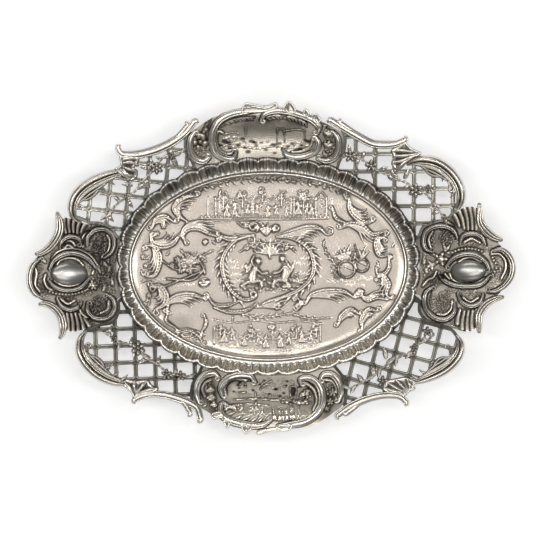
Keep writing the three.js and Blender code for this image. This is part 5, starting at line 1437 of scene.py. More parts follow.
def trophy_right():
    """A tambourine and a round of music with leaves and reeds."""
    for x, y, radius in ((52.2, -1.4, 6.2), (62.6, 1.2, 4.9)):
        well.dome(x, y, radius, radius, 0.5, trace=0.5)
        well.stroke(oval_ring(x, y, radius - 0.6, radius - 0.6, 0.65, 16), 1.25)
        trail(well, [(x - 0.7 * radius, y + 0.3 * radius), (x + 0.7 * radius, y - 0.3 * radius)], 0.5, 0.95)
    for heading, size in ((62, 10), (80, 11.5), (100, 9.5), (120, 10), (142, 9), (165, 8)):
        blade(well, 51.5, 4.4, heading, size, 1.1, 1.0, -12)
    for heading, size in ((40, 8), (66, 9), (95, 7)):
        blade(well, 62, 5.5, heading, size, 0.95, 0.95, 14)
    leafy(well, [(46, 0), (42, 5), (38.5, 10), (36.4, 15.4)], 0.45, 0.9, 6, 3.0)
    trail(well, [(57, 5), (58.6, 11), (57.6, 15.5)], 0.5, 0.95)
    cluster(well, 56.8, 4.4, 3.6, 2.6, 0.85, 1.15, 16, 41)
    cluster(well, 45.8, -4.6, 2.2, 3.2, 0.8, 1.0, 12, 42)
    cluster(well, 56, 6.6, 10, 5, 0.7, 0.7, 50, 47)
    cluster(well, 44, 2, 4, 8, 0.7, 0.6, 24, 48)
    each(tuft, well, (
        (52, -10, 12, 43), (64, -8.6, 10, 44), (43, -10.5, 7, 45), (58, -13, 12, 46),
    ), 2.5, 8, 0.5)


def garden_scene():
    """The upper field: a balustrade, columns, curtains and company in a garden."""
    trail(well, [(-48, 33.0), (0, 32.4), (40, 33.0)], 0.5, 0.6)
    trail(well, [(-46, 30.6), (-6, 30.2)], 0.35, 0.45)
    for x in np.arange(-46, 40, 2.6):
        well.dome(x, 34.2, 0.7, 0.8, 0.55)
    for x in (-41.8, -36.4, 16.6, 31.4, 38.6):
        trail(well, [(x, 34.5), (x, 47.5)], 0.55, 0.6)
    trail(well, [(31.4, 47), (35, 51), (38.6, 47)], 0.55, 0.6)
    for x, facing, gown in (
        (-29, 1, 1), (-23.4, -1, 0), (-14.8, 1, 1), (-8.6, -1, 0), (-1.4, 1, 1), (4.6, -1, 1), (11.4, 1, 0),
        (19.6, -1, 1), (25.2, 1, 0), (28.4, -1, 1),
    ):
        villager(well, x, 35.4 + 0.8 * math.sin(2 * x), 8.2 + 1.2 * math.sin(x), facing, gown, 0.62)
    for k, x in enumerate(np.arange(-36, 41, 5.2)):
        cluster(well, x, 41 + 1.5 * math.sin(1.7 * k), 3.4, 6.2, 0.6, 0.5, 26, 80 + k)
        trail(well, [(x - 2, 47 - math.sin(k)), (x, 45.4), (x + 2.4, 47.2 + math.cos(k))], 0.4, 0.5)
    each(tree, well, (
        (-31.6, 38, 13, 4.2, 51), (-18.6, 40, 11, 3.6, 52), (8, 41, 11.5, 3.6, 53), (22.8, 40, 12, 4.6, 54),
        (-5, 44, 9, 2.6, 55),
    ), 0.7)
    for x in (-34, -33, -12, -11, 14.4, 42):
        trail(well, [(x, 37), (x + 0.3, 45.5)], 0.35, 0.4)
    rosette(well, -16, 28.6, 2.0, 0.8)
    trail(well, [(-21.6, 30.4), (-17, 27.2), (-11.4, 28.6), (-8.4, 31.4)], 0.7, 0.8)
    # The garland under the thread.
    line = [
        (-65, 42.5), (-57, 48.8), (-46, 53.4), (-33, 56.8), (-16, 59.2), (0, 59.8), (17, 59), (33, 56.4),
        (45, 53), (54, 48.6),
    ]
    rows = smooth(line, 1.0)
    rng = np.random.default_rng(57)
    for x, y in rows[::2]:
        well.dome(x + rng.uniform(-0.6, 0.6), y + rng.uniform(-1.5, 1.2), rng.uniform(0.8, 1.3),
                  rng.uniform(0.6, 1), rng.uniform(0.7, 1.1), rng.uniform(0, 180))
    comb(well, [(*p, 0.7) for p in line], -1, 24, 3.2, 0.75, 0.9, (0.02, 0.98), lean=62, curl=-40)
    comb(well, [(*p, 0.7) for p in line], 1, 20, 2.2, 0.6, 0.8, (0.02, 0.98), lean=50, curl=-30)


def dance_scene():
    """The lower field: a ribbon of leaves over a dance in the open."""
    leafy(well, [
        (-30, -31), (-20, -31.6), (-8, -34), (2, -33.4), (14, -31.6), (26, -34.8), (40, -34.4),
    ], 0.5, 0.7, 22, 3.2)
    trail(well, [(-38, -35.6), (-24, -37.8), (-10, -36.2), (4, -37.8), (20, -36.6), (36, -38.4)], 0.4, 0.5)
    trail(well, [(-37.6, -52), (-37.6, -40.4)], 0.7, 0.6)
    trail(well, [(34.4, -50.4), (34.4, -39.6)], 0.6, 0.6)
    for x, y, facing, gown in (
        (-30.6, -50.6, 1, 1), (-25, -49.2, -1, 0), (-17, -53, 1, 1), (-7.6, -52, -1, 0), (-2.6, -54.4, 1, 1),
        (7.4, -54.2, -1, 1), (13, -52.6, 1, 0), (22, -50.8, -1, 1), (28, -50, 1, 0),
    ):
        villager(well, x, y, 8.4 + math.sin(2 * x), facing, gown, 0.62)
    for k, x in enumerate(np.arange(-32, 33, 4.8)):
        cluster(well, x, -47.6 + 1.6 * math.sin(1.9 * k), 3.2, 5.6, 0.6, 0.5, 24, 110 + k)
    each(tree, well, (
        (-33.6, -48, 10, 3.2, 61), (-12, -48.6, 9, 2.8, 62), (1.6, -47, 8, 2.6, 63), (18, -49, 10, 3.4, 64),
        (31.6, -48, 9, 3, 65),
    ), 0.65)
    each(tuft, well, (
        (-28, -54.4, 12, 66), (-10, -57.6, 14, 67), (8, -58, 14, 68), (24, -54.6, 12, 69),
    ), 2.2, 9, 0.45)


def well_edges():
    """Small flowers, leaves and cartouches between the scrolls and the thread."""
    each(rosette, well, (
        (-85.6, 6.8, 2.2), (-84, 0.8, 2.0), (-81.6, -19.4, 2.2), (-71.8, 27.8, 2.4), (-76, 22.6, 2.0),
    ), 0.85)
    each(blade, well, (
        (-86, 10.4, 80, 5), (-87, -2, -80, 5), (-83.4, -8.6, 200, 4.4), (-70, 8, 40, 4),
        (-60.4, 12, -60, 3.6), (-38, 11.4, 200, 5), (-36.6, 15.4, 130, 4), (36, 15, 60, 4.6),
        (83, 13.6, 60, 3.4), (74, 1.6, 110, 3.6), (70, 19, 150, 4.2), (76.4, -13, 100, 3.6),
        (-24.6, -33.4, 250, 3.4), (5, -31, 260, 3.4), (66.6, -24, 40, 4), (-76.6, -20.6, 0, 4),
    ), 0.9, 0.85, 25)
    for a in (2.2, 4.2, 6.2):
        well.stroke(oval_ring(-56, -45.8, a * 1.5, a * 0.62, 0.45, 18), 0.55)
    cluster(well, -83.4, -24, 2.6, 5, 0.8, 0.7, 20, 71)
    cluster(well, -80.6, 4, 3.2, 6, 0.7, 0.6, 22, 72)
    # Painted shade and painted reflection: darker along the thread at the top, at the top corners, over the
    # left end and over the putti. The other ovals darken the lower left cartouche, the trophies and the two
    # scenes a little, and lighten two small patches.
    each(Relief.shade, well, (
        (-78, -16, 12, 15, 0.2), (-61, -37, 9, 5, 0.35), (0, 61, 50, 3.4, 0.35), (-52, 52, 14, 4, 0.25),
        (52, 50, 14, 4, 0.25), (-57, -1, 13, 8, 0.12), (0, -4, 22, 14, 0.1), (56, 0, 13, 8, 0.08),
        (-10, -4, 6, 9, 0.08), (10, -3, 6, 9, 0.08), (0, 42, 46, 9, 0.06), (0, -47, 40, 9, 0.08),
        (-56, 22, 9, 6, -0.08), (50, 12, 9, 7, -0.08),
    ))


well_frames()
well_middle()
trophy_left()
trophy_right()
garden_scene()
dance_scene()
well_edges()


def floor_piece():
    """The well's plate: chased above, turned up a little at the thread, and flat below."""
    heights = well.heights()
    tarnish_and_shade = tarnish(heights, well.step, 0.55, 0.1) + well.tone
    heights = blurred(heights, 0.9)
    uneven = blurred(np.random.default_rng(5).standard_normal(heights.shape), 3.4 / well.step)
    heights = heights + 0.035 * uneven / uneven.std()
    box = (MIDDLE[0] - 93, MIDDLE[1] - 63, MIDDLE[0] + 93, MIDDLE[1] + 63)
    plan, tris = cut_grid(*box, FLOOR_GRID, lambda x, y: -oval_field(x, y, -0.9))
    x, y = plan.T
    z = FLOOR + well.at(heights, x, y) + 0.8 * np.clip(1 + oval_field(x, y, -1.3) / 9, 0, 1) ** 3
    # Painted shade beside the thread, where the floor turns up to it.
    edge = np.clip(1 + oval_field(x, y, -1.0) / 1.2, 0, 1)
    patina_and_shade = np.clip(well.at(tarnish_and_shade, x, y) + 0.5 * edge, 0, 1)
    n = len(plan)
    i, j = rim_edges(tris).T
    # From the cut edge the floor's sides reach outwards under the wall, and down to a flat underside.
    skirt = MIDDLE + (plan - MIDDLE) * (1 + 5.0 / np.hypot(*(plan - MIDDLE).T))[:, None]
    rim, where = np.unique(np.concatenate([i, j]), return_inverse=True)
    a, b = where[:len(i)], where[len(i):]
    m = len(rim)
    verts = np.vstack([np.column_stack([x, y, z]), np.column_stack([skirt[rim], np.full(m, FLOOR)]),
                       np.column_stack([skirt[rim], np.zeros(m)]), [[*MIDDLE, 0.0]]])
    faces = [tris]
    for inner, outer in (((i, j), (n + a, n + b)), ((n + a, n + b), (n + m + a, n + m + b))):
        faces.append(np.column_stack([inner[1], inner[0], outer[0]]))
        faces.append(np.column_stack([inner[1], outer[0], outer[1]]))
    faces.append(np.column_stack([n + m + b, n + m + a, np.full(len(a), n + 2 * m)]))
    tarnish_and_shade = np.concatenate([patina_and_shade, np.full(2 * m + 1, 0.5)])
    piece = mesh_piece("well_relief_silver", verts, np.vstack(faces), tarnish_and_shade, sharp=70)
    finished(piece, "well_silver", "well_plate")


floor_piece()

# Plates of the cartouches

# For each plate: how deep its chasing lies before it is quite dark, and how dark its bare ground is. The
# front and end plates' grounds are darker as painted shade, on top of their tarnish.
PLATE_WEAR_AND_SHADE = {"back": (0.3, 0.16), "front": (0.3, 0.42), "left": (1.2, 0.74), "right": (1.2, 0.66)}


def cartouche(side, relief):
    """A plate with its relief. It is darkened along the bands that lie on it, as painted contact shadow with
    tarnish.
    """
    level = plate_levels[side]
    for name, line in BANDS.items():
        if side in name.split("_"):
            relief.outline(smooth(line), 1.1)
    heights = relief.heights()
    tarnish_and_shade = np.clip(tarnish(heights, relief.step, *PLATE_WEAR_AND_SHADE[side]) + relief.tone, 0, 1)
    piece = plate_piece(f"plate_{side}_silver", box_of(PLATES[side]), PLATE_GRID,
                        lambda x, y: np.minimum(level(x, y), oval_field(x, y, BORDER_START)),
                        lambda x, y: sheet(x, y) + relief.at(heights, x, y),
                        lambda x, y: relief.at(tarnish_and_shade, x, y))
    finished(piece, "plate_silver", f"plate_{side}")


def relief_over(outlines, pad=2):
    """An empty relief over one outline, or over several."""
    return Relief(*box_of([point for outline in outlines for point in outline], pad), RELIEF_STEP)


def spots(relief, places, size, value):
    """Dark spots painted where the scene has chased hollows: the relief has no hollow there, so the dark
    stands for their shade and tarnish.
    """
    for x, y in places:
        relief.shade(x, y, size * 1.3, size * 0.8, value)


def zigzag(relief, line, side, count, size, height):
    """Pointed scallops along one side of a line."""
    rows = smooth(line, 0.4)
    for share in np.linspace(0.02, 0.98, count):
        i = min(len(rows) - 3, int(share * (len(rows) - 3)) + 1)
        ahead = rows[i + 1, :2] - rows[i - 1, :2]
        ahead /= np.hypot(*ahead)
        away = side * np.array([-ahead[1], ahead[0]])
        x, y = rows[i, :2] + away * 0.4 * size
        relief.dome(x, y, 0.55 * size, 0.42 * size, height, math.degrees(math.atan2(away[1], away[0])), 1.6)


def back_plate():
    """A landscape with hills on the left, a tower in the middle and a low wall on the right."""
    relief = relief_over([PLATES["back"]])
    # Painted shade over the sky in the upper band, and painted light over the lower band and a strip through
    # the middle.
    relief.shade(0, 81, 34, 6.2, -0.55)
    relief.shade(-2, 96, 36, 7, 0.66)
    relief.shade(0, 86.8, 12, 2.4, -0.6)
    trails(relief, (
        [(-31, 89.3), (-27, 90.2), (-23.4, 90.8), (-21, 89.8)],
        [(-30.4, 86.4), (-26, 87.6), (-20.6, 87.2), (-16, 84)],
        [(-33, 80.6), (-27, 83), (-20, 83.6)],
        [(4.9, 80.5), (5.2, 92.9)],
        [(5.2, 92.9), (9.7, 92.9)],
        [(9.7, 92.9), (10.2, 84)],
        [(9.7, 91.6), (17, 92.4), (23.6, 92)],
        [(23.6, 92), (23.9, 84.6)],
        [(-16, 93.8), (-16, 88.4)],
        [(-30, 80), (-20, 81.4), (-8, 80), (4, 81.6), (16, 80.4), (26, 82)],
    ), 0.34, 0.42)
    spots(relief, (
        (-32.7, 81.9), (-26.9, 80.5), (-27.2, 83.3), (-21, 81.9), (-17.9, 86.4), (-16.5, 80.5), (-8.9, 81.9),
        (-9.6, 83.9), (-5.5, 83.9), (-1.3, 84.6), (3.5, 77), (7, 83.4), (12.5, 81.5), (15.2, 83.2),
        (21.8, 81.9), (24.2, 85.3), (20.8, 79.4), (26.3, 84.6), (-2.4, 79), (-24, 77.6), (18, 78.6),
    ), 1.4, 1.0)
    spots(relief, ((-14.4, 77.9), (10, 79.6), (-30, 84.6), (2.4, 82.4), (-12, 84.8)), 1.8, 1.1)
    cluster(relief, -26, 85.6, 6, 2.4, 0.55, 0.4, 26, 6)
    cluster(relief, 20, 83.6, 6, 2, 0.5, 0.35, 18, 7)
    # Flowers in the loops beside the scene.
    each(matt, relief, ((-46.9, 78, 4.4, 4, 8), (40.4, 84, 3.8, 8, 9), (37, 93, 2.4, 3.4, 10)))
    for x, y, a, b, turn in (
        (-47.4, 88.4, 2.2, 1.6, 60), (-44.8, 87.6, 2.4, 1.7, 110), (-51, 86.4, 1.8, 1.5, 0),
        (-50.3, 83.7, 1.9, 1.5, 30), (-43.4, 83.3, 2.3, 1.7, 20), (-46.6, 84.4, 1.3, 1.3, 0),
        (-47.9, 80.4, 1.4, 2.0, 20), (-42.7, 92.2, 1.6, 1.0, 60),
    ):
        relief.dome(x, y, a, b, 1.3, turn)
    zigzag(relief, [(-43.8, 90.4, 1), (-41.8, 95, 1), (-39.3, 99.4, 1)], 1, 6, 1.9, 1.0)
    for x, y in ((39.4, 88.8), (39.4, 81.2)):
        for turn in (20, 80, 140):
            a = math.radians(turn)
            relief.dome(x + 1.2 * math.cos(a), y + 1.2 * math.sin(a), 2.5, 1.3, 1.1, turn)
        relief.dome(x, y, 1.0, 1.0, 1.5)
    each(blade, relief, (
        (36, 92.4, 60, 4.4), (43.2, 86, 60, 3.4), (36.4, 77.4, 300, 4), (-41.8, 79, 60, 3.6),
    ), 1.1, 0.95, 20)
    # The frames' inner ridges and scallops.
    trail(relief, [
        (-31.4, 90.4), (-34, 91.4), (-35.6, 89.6), (-35.9, 85.3), (-33.9, 79), (-29, 76.2), (-24, 77),
    ], 0.95, 1.1)
    trail(relief, [(15.2, 77.4), (22.1, 78.2), (27.7, 81.9), (29, 86)], 0.95, 1.0)
    comb(relief, [
        (-32, 95.4, 0.6), (-27, 98.6, 0.6), (-20, 100.6, 0.6), (-10, 101.4, 0.6),
    ], -1, 9, 3.4, 0.55, 0.8, lean=32, curl=30)
    comb(relief, [
        (-5, 98.8, 0.6), (2, 101.4, 0.6), (12, 101.6, 0.6), (20, 99.6, 0.6), (28.4, 95.2, 0.6),
    ], -1, 11, 3.6, 0.6, 0.85, lean=30, curl=30)
    trail(relief, [(-32.6, 94.6), (-27, 98.2), (-20, 100.2), (-10, 101)], 0.5, 0.7)
    each(blade, relief, (
        (-3.4, 100.6, 15, 6), (2, 102, 0, 7), (12, 101.4, -12, 7.4), (19, 99.6, -24, 7),
    ), 1.1, 1.15, -8)
    each(Relief.shade, relief, ((-43, 84, 9, 12), (41, 85, 8, 11), (-38, 97, 7, 5), (36, 97, 7, 4)), 0.35)
    cartouche("back", relief)


def front_plate():
    """A shore with bushes, a hut, a row of shrubs and tall reeds."""
    relief = relief_over([PLATES["front"]])
    relief.shade(2, -84, 26, 7, 0.1)
    relief.shade(20, -99.4, 8, 3.4, -0.6)
    relief.shade(-4, -97, 20, 5, -0.3)
    trails(relief, (
        [(-24, -89.4), (-10, -88.8), (4, -89.6), (14, -88.8)],
        [(-6.1, -82.1), (-3, -79.4), (1.4, -76.6)],
        [(-8.9, -94), (-9.4, -84.6)],
        [(-26, -93.4), (-14, -92.2), (0, -93.2)],
        [(-22, -85), (-16, -84.4)],
    ), 0.34, 0.42)
    spots(relief, (
        (-20, -78), (-16.5, -80), (-20.6, -81.6), (-6.1, -79.3), (-3.4, -76.6), (-11, -83.1), (11.1, -80),
        (11.8, -77), (0, -85.6), (7, -86.9), (9.6, -85), (-24, -84), (-13, -77), (20, -81),
    ), 0.9, 0.5)
    spots(relief, ((4.2, -82.4), (-21, -79.6)), 1.3, 0.5)
    relief.shade(16, -84, 1.7, 3.4, 0.5)
    trail(relief, [(14.2, -87), (14.2, -81), (17.8, -81), (17.8, -87)], 0.35, 0.4)
    cluster(relief, 24.4, -85.6, 4, 3, 0.75, 0.7, 26, 11)
    cluster(relief, 18.4, -91, 10, 1.6, 0.8, 0.9, 44, 12)
    cluster(relief, -22.4, -94.6, 5, 2.4, 0.75, 0.8, 36, 13)
    cluster(relief, -10.4, -96, 4, 2, 0.6, 0.6, 20, 14)
    for k, x in enumerate(np.linspace(3, 19, 11)):
        blade(relief, x, -103.4 + 0.1 * abs(x - 8), 92 + 14 * math.sin(2.3 * k), 8.6, 0.75, 0.85, 8)
    for k, x in enumerate(np.linspace(-12, -4, 5)):
        blade(relief, x, -99.4, 80 + 22 * math.sin(1.9 * k), 5.6, 0.6, 0.6, 8)
    each(matt, relief, ((-42.6, -80.4, 3, 4.4, 15), (42, -82, 4, 5.4, 16)))
    for x, y, size in ((-39.6, -81.6, 3.4), (-39.3, -86.4, 4.0), (-37.4, -91.6, 3.2)):
        for turn in (215, 245, 270, 295, 325):
            blade(relief, x, y, turn, size, 0.24 * size, 1.15)
        relief.dome(x, y + 0.2, 0.42 * size, 0.36 * size, 1.4)
    each(rosette, relief, ((42.6, -84.6, 2.9), (40.9, -90.6, 2.6), (38.6, -95.4, 2.0)), 1.15)
    each(blade, relief, (
        (44.6, -88, 320, 4.4), (37, -89, 150, 3.4), (-35.4, -95, 290, 3.4), (-42.6, -92, 220, 3),
    ), 1.0, 0.95, 20)
    # The frames' inner ridges and leaves.
    trails(relief, (
        [(-29.6, -85.4), (-30.2, -80.7), (-26.9, -76.8), (-22, -75.4), (-15.6, -76)],
        [(25, -78.6), (30, -83), (31.8, -90.4), (29.4, -96.4)],
        [(-43.6, -86.9), (-45.2, -82.1), (-43.4, -78), (-39.6, -76)],
        [(37, -76), (41.6, -76.8), (44.6, -80.6), (45.4, -84.4)],
    ), 0.95, 1.05)
    each(blade, relief, (
        (-28, -99.6, 18, 6), (-23, -101.8, 14, 6), (-18, -103, 16, 6), (-12.6, -103.8, 24, 6),
        (-7.4, -104, 34, 5), (-30.4, -96.6, 30, 5), (-2.6, -103.4, 44, 5),
    ), 0.75, 0.9, 24)
    each(Relief.shade, relief, ((-42, -84, 8, 12), (42, -85, 8, 11), (-37, -99, 6, 5), (37, -99, 7, 5)), 0.35)
    cluster(relief, 0, -79, 22, 4, 0.5, 0.3, 60, 61)
    cluster(relief, 0, -87, 22, 2, 0.45, 0.3, 40, 62)
    cartouche("front", relief)


def matt(relief, x, y, a, b, seed):
    """A punched ground: fine pits that look rough and dark."""
    rng = np.random.default_rng(seed)
    for _ in range(int(a * b * 2.6)):
        r, t = math.sqrt(rng.random()), rng.random() * 2 * math.pi
        relief.dome(x + a * r * math.cos(t), y + b * r * math.sin(t), 0.42, 0.42, 0.3, trace=0.6)


def ribs(relief, half, places):
    """A fan of ribs, each from a root to a tip."""
    for ax, ay, bx, by in places:
        mid = (0.5 * (ax + bx) + 0.04 * (by - ay) * np.sign(ax), 0.5 * (ay + by))
        relief.stroke(smooth([(ax, ay, 0.6 * half), (*mid, 0.85 * half), (bx, by, 0.95 * half)], 0.3), 1.1)


def left_plate():
    """An end plate: curls round the boss, beads, two fans of ribs and punched grounds."""
    relief = relief_over([PLATES["left"]])
    arcs = (
        [(-146.6, 5.6), (-142.6, 10), (-136.5, 12.2), (-128.5, 11.6), (-121, 7.8), (-116, 1.2)],
        [(-143.6, 0.4), (-140.6, 4.4), (-135, 6), (-129.6, 5), (-125.4, 1)],
        [(-144.6, -9.2), (-140, -12), (-135, -12.8), (-129, -11.4), (-125, -7.6)],
        [(-158.4, 1.6), (-156.8, -4), (-157.6, -12), (-154.6, -16.4)],
        [(-125.6, 13.6), (-126.4, 18.6), (-123, 23), (-117.3, 24)],
        [(-109.4, 21.4), (-107.8, 17.4), (-108.8, 11), (-113, 6.6)],
        [(-128.6, -24.6), (-127.2, -30), (-123, -33.8), (-119.6, -33.2)],
        [(-108.6, -23), (-109.4, -28.6), (-113.6, -31)],
        [(-140.2, 13.6), (-138, 17), (-133.6, 17.4), (-130.8, 14.4)],
        [(-138, 12.6), (-135.6, 14.6), (-132.6, 13.2)],
        [(-140.2, -21.8), (-135.6, -24.8), (-131, -22.4)],
        [(-150.6, -5), (-151.6, -9), (-149.6, -13.6), (-146.6, -15.6)],
    )
    for line in arcs:
        trail(relief, line, 0.95, 1.1)
    each(Relief.shade, relief, ((-132, 28), (-130, -37)), 9, 7, 0.18)
    for x in np.linspace(-148, -124, 12):
        relief.dome(x, -18.6 + 0.016 * (x + 137) ** 2, 1.0, 0.95, 1.2)
    for k in range(5):
        relief.dome(-122.6 + 0.9 * k, -15.0 + 1.8 * k, 0.9, 0.85, 1.1)
    for turn in range(0, 360, 60):
        x, y = -118.6 + 1.7 * math.cos(math.radians(turn)), -12.4 + 1.9 * math.sin(math.radians(turn))
        relief.dome(x, y, 1.4, 0.9, 1.1, turn)
    relief.dome(-118.6, -12.4, 1.5, 1.9, 1.6)
    ribs(relief, 1.7, (
        (-139.4, 22.4, -141, 32), (-137, 22.8, -138.4, 33.4), (-134.6, 22.8, -135.2, 33.4),
        (-132, 22.6, -131.6, 32.4), (-129.6, 22.2, -128, 30.8), (-127, 23.4, -124.2, 29),
    ))
    ribs(relief, 1.7, (
        (-139, -30.4, -138.4, -41), (-136.4, -31, -135.4, -42.8), (-133.6, -31, -132.2, -43.2),
        (-130.8, -30.8, -128.8, -42.8), (-128, -31.6, -125.2, -41.6), (-125, -34.4, -121.6, -39.4),
    ))
    each(matt, relief, (
        (-115, 15, 5.6, 7.4, 21), (-115.6, -26, 5.2, 6.6, 22), (-154.4, -6, 2.6, 9, 23),
        (-151, -17, 4, 2.6, 24), (-112.4, -5, 5.8, 9, 25), (-135.4, -20.8, 4.6, 2.2, 26),
        (-147.4, 11.4, 5, 3, 27), (-124, -17.6, 4, 2, 28), (-135.6, 10, 6, 1, 29), (-107.4, 1, 3, 13, 30),
        (-120, 2, 3, 5, 40), (-108, -26, 3, 6, 41), (-108, -16, 4, 5, 50), (-119, -38, 5, 3, 51),
        (-118, 28, 5, 3, 52), (-105, 16, 2, 8, 53),
    ))
    each(Relief.shade, relief, (
        (-115, 15, 6, 8, 0.25), (-115, -26, 6, 7, 0.25), (-112, -4, 7, 10, 0.2), (-135, -21, 5, 2.4, 0.2),
        (-148, -16, 7, 3, 0.15),
    ))
    each(blade, relief, (
        (-112.4, -16, 60, 5), (-121, 9.6, 200, 4), (-111.6, 3.4, 300, 5), (-105.8, -12, 90, 5),
        (-150.4, 3, 140, 4), (-114, -4, 110, 5), (-108.6, -3, 70, 4.4), (-119.6, -5, 60, 4),
    ), 1.0, 1.0, 25)
    cartouche("left", relief)


def right_plate():
    """An end plate like the left one, with a blossom between its curls and the wall."""
    relief = relief_over([PLATES["right"]])
    arcs = (
        [(127.4, 3.4), (131, 5.6), (136, 6.4), (142.6, 3.4)],
        [(121.4, -4.4), (123.4, -8.4), (128.6, -11), (138, -11), (145, -7.6)],
        [(115, -5), (118.6, -9.4), (124, -12.4)],
        [(118.4, -4.6), (121, -8)],
        [(149.6, 8.8), (154.4, 8.8), (158, 5.4), (159, -1), (156, -8)],
        [(131, 16.6), (136, 19), (141.8, 16.2)],
        [(130.4, -20.6), (135.2, -23.6), (140.6, -20.6)],
        [(108.8, 12.6), (107.4, 18.6), (110, 24)],
        [(108.4, -16), (106.6, -22.7), (108.4, -28.4)],
        [(115.8, 25.6), (120.4, 26.4), (124.4, 23.4), (126, 19)],
        [(113, -31.6), (118, -32), (122.4, -28), (123, -22.6)],
        [(112.6, -3), (110.4, -7), (107, -8.6), (103.4, -12.6)],
    )
    for line in arcs:
        trail(relief, line, 0.95, 1.1)
    each(Relief.shade, relief, ((131, 32), (133, -36)), 10, 8, 0.18)
    zigzag(relief, [
        (148.4, 8.6, 1), (150, 4, 1), (152, 0.6, 1), (150, -3.6, 1), (147.6, -7, 1),
    ], 1, 8, 2.4, 1.0)
    for x in np.linspace(123, 143, 10):
        relief.dome(x, 12.4 - 0.022 * (x - 134) ** 2, 1.15, 1.0, 1.2)
    relief.dome(115.4, 5.3, 2.6, 2.6, 1.6)
    for turn in range(0, 360, 72):
        x, y = 115.4 + 3.3 * math.cos(math.radians(turn)), 5.3 + 3.3 * math.sin(math.radians(turn))
        relief.dome(x, y, 1.6, 1.3, 1.1, turn)
    each(blade, relief, (
        (109.4, 1.3, 200, 4.4), (109.4, 1.3, 130, 4), (109.4, 1.3, 270, 4), (109.4, 1.3, 20, 3.6),
        (117.8, 10.6, 40, 6), (118.6, 10.6, 100, 5.4), (119.6, 9.4, 0, 5.4), (111.4, 8, 150, 4.6),
        (104, 2, 80, 5), (106, -4, 100, 4),
    ), 1.15, 1.1, 20)
    ribs(relief, 1.8, (
        (123.4, 27.6, 117.4, 31), (127.8, 27.4, 124.5, 35), (131.1, 25.8, 127.8, 37.4),
        (133.8, 25, 131.2, 39.4), (136.5, 25, 134.4, 40.6), (139.1, 25, 137.6, 40.6),
        (141.2, 25.4, 140.2, 38.6),
    ))
    ribs(relief, 1.8, (
        (128.4, -28.6, 126.4, -38), (131.2, -29.6, 129.6, -41.6), (134, -29.8, 133, -43),
        (136.8, -29.2, 136.2, -42), (139.4, -27.6, 139, -38.6),
    ))
    each(matt, relief, (
        (119, 19.6, 5, 5, 31), (116.8, -24, 6, 7.4, 32), (154, -2, 3.0, 9, 33), (149.4, -12.6, 4, 3.6, 34),
        (135.4, -17.6, 6.6, 3, 35), (136.4, 15.2, 5, 2, 36), (111.6, -10, 5, 3.4, 37),
        (124, -15.6, 6, 2.4, 38), (147, 12.4, 3, 2.4, 39), (105.4, 0, 3, 13, 42), (118, 1, 3, 4, 43),
        (108.6, 20, 3, 7, 44), (109, -24, 3, 6, 45), (112, 30, 5, 3, 54), (112, -36, 6, 3, 55),
        (104, 14, 2, 8, 56), (124, -38, 4, 3, 57),
    ))
    each(Relief.shade, relief, (
        (119, 19, 6, 6, 0.2), (117, -24, 6, 7, 0.2), (112, -8, 7, 5, 0.2), (134, 12, 9, 2.4, 0.2),
    ))
    cartouche("right", relief)


back_plate()
front_plate()
left_plate()
right_plate()

# Scrolls and frames

for corner, lines in CORNER_SCROLLS.items():
    rows = [curled(lines[0]), curled(lines[1], 1.4, 1.4)]
    if corner == "front_left":
        rows = [row[::-1] for row in rows]
    swept(f"corner_scroll_{corner}", rows, "scroll_silver", 1.1, 0.22, Channel=0.9, Channel_place=0.18,
          Channel_width=0.17, Second=0.7, Second_place=0.68, Second_width=0.11)
for corner, lines in RIM_SCROLLS.items():
    rows = [plump(curled(line, 1.3, 1.3, turns=0.42), least) for line, least in zip(lines, (1.9, 1.6))]
    # Front rim scrolls are darker, as painted shade.
    age_and_shade = 0.22 if "front" in corner else 0.12
    swept(f"rim_scroll_{corner}", rows, "scroll_silver", 1.18, age_and_shade, Channel=0.35, Channel_place=0.5,
          Channel_width=0.13, Second=0.3, Second_place=-0.62)
# Wing, end and boss bands are darker than the frames, as painted shade.
for name, line in BANDS.items():
    if "wing" in name:
        swept(name, [plump(curled(line), 1.2)], "scroll_silver", 1.35, 0.28, Channel=0.55, Channel_place=0.25,
              Channel_width=0.13, Second=0.5, Second_place=-0.4, Second_width=0.12)
    elif name.startswith(("end", "boss")):
        swept(name, [curled(line, 1.5, 1.5)], "scroll_silver", 0.95, 0.3, Channel=0.6, Channel_place=0.3,
              Channel_width=0.17, Second=0.2, Second_place=-0.6)
    else:
        swept(name, [curled(line, 1.5, 1.5)], "scroll_silver", 1.3, 0.0, Channel=0.3, Channel_place=0.45,
              Channel_width=0.17, Second=0.2, Second_place=-0.6)

# Leaves, shells and flowers as chased sheets over the border

def ornament(name, relief, slot, lift, *nodes):
    """Closed pieces wherever a relief stands up, with the relief as their upper face."""
    tarnish_and_shade = np.clip(tarnish(relief.up, relief.step, 0.35) + relief.tone, 0, 1)
    piece = plate_piece(name, relief.box, ORNAMENT_GRID, lambda x, y: relief.at(relief.up, x, y) - 0.2,
                        lambda x, y: sheet(x, y) + lift + relief.at(relief.up, x, y),
                        lambda x, y: relief.at(tarnish_and_shade, x, y), lambda x, y: sheet(x, y) - 0.2)
    finished(piece, slot, *nodes)


def filled(relief, outline, body, roll, run=0.8):
    """Fills an outline with a sheet whose rim is rolled up."""
    level = outline_level(outline)(relief.x, relief.y)
    form = body + (roll - body) * np.exp(-((level - run) / run) ** 2)
    relief.up = np.maximum(relief.up, np.where(level > 0, form * np.clip(level / 0.35, 0, 1) ** 0.5, 0))


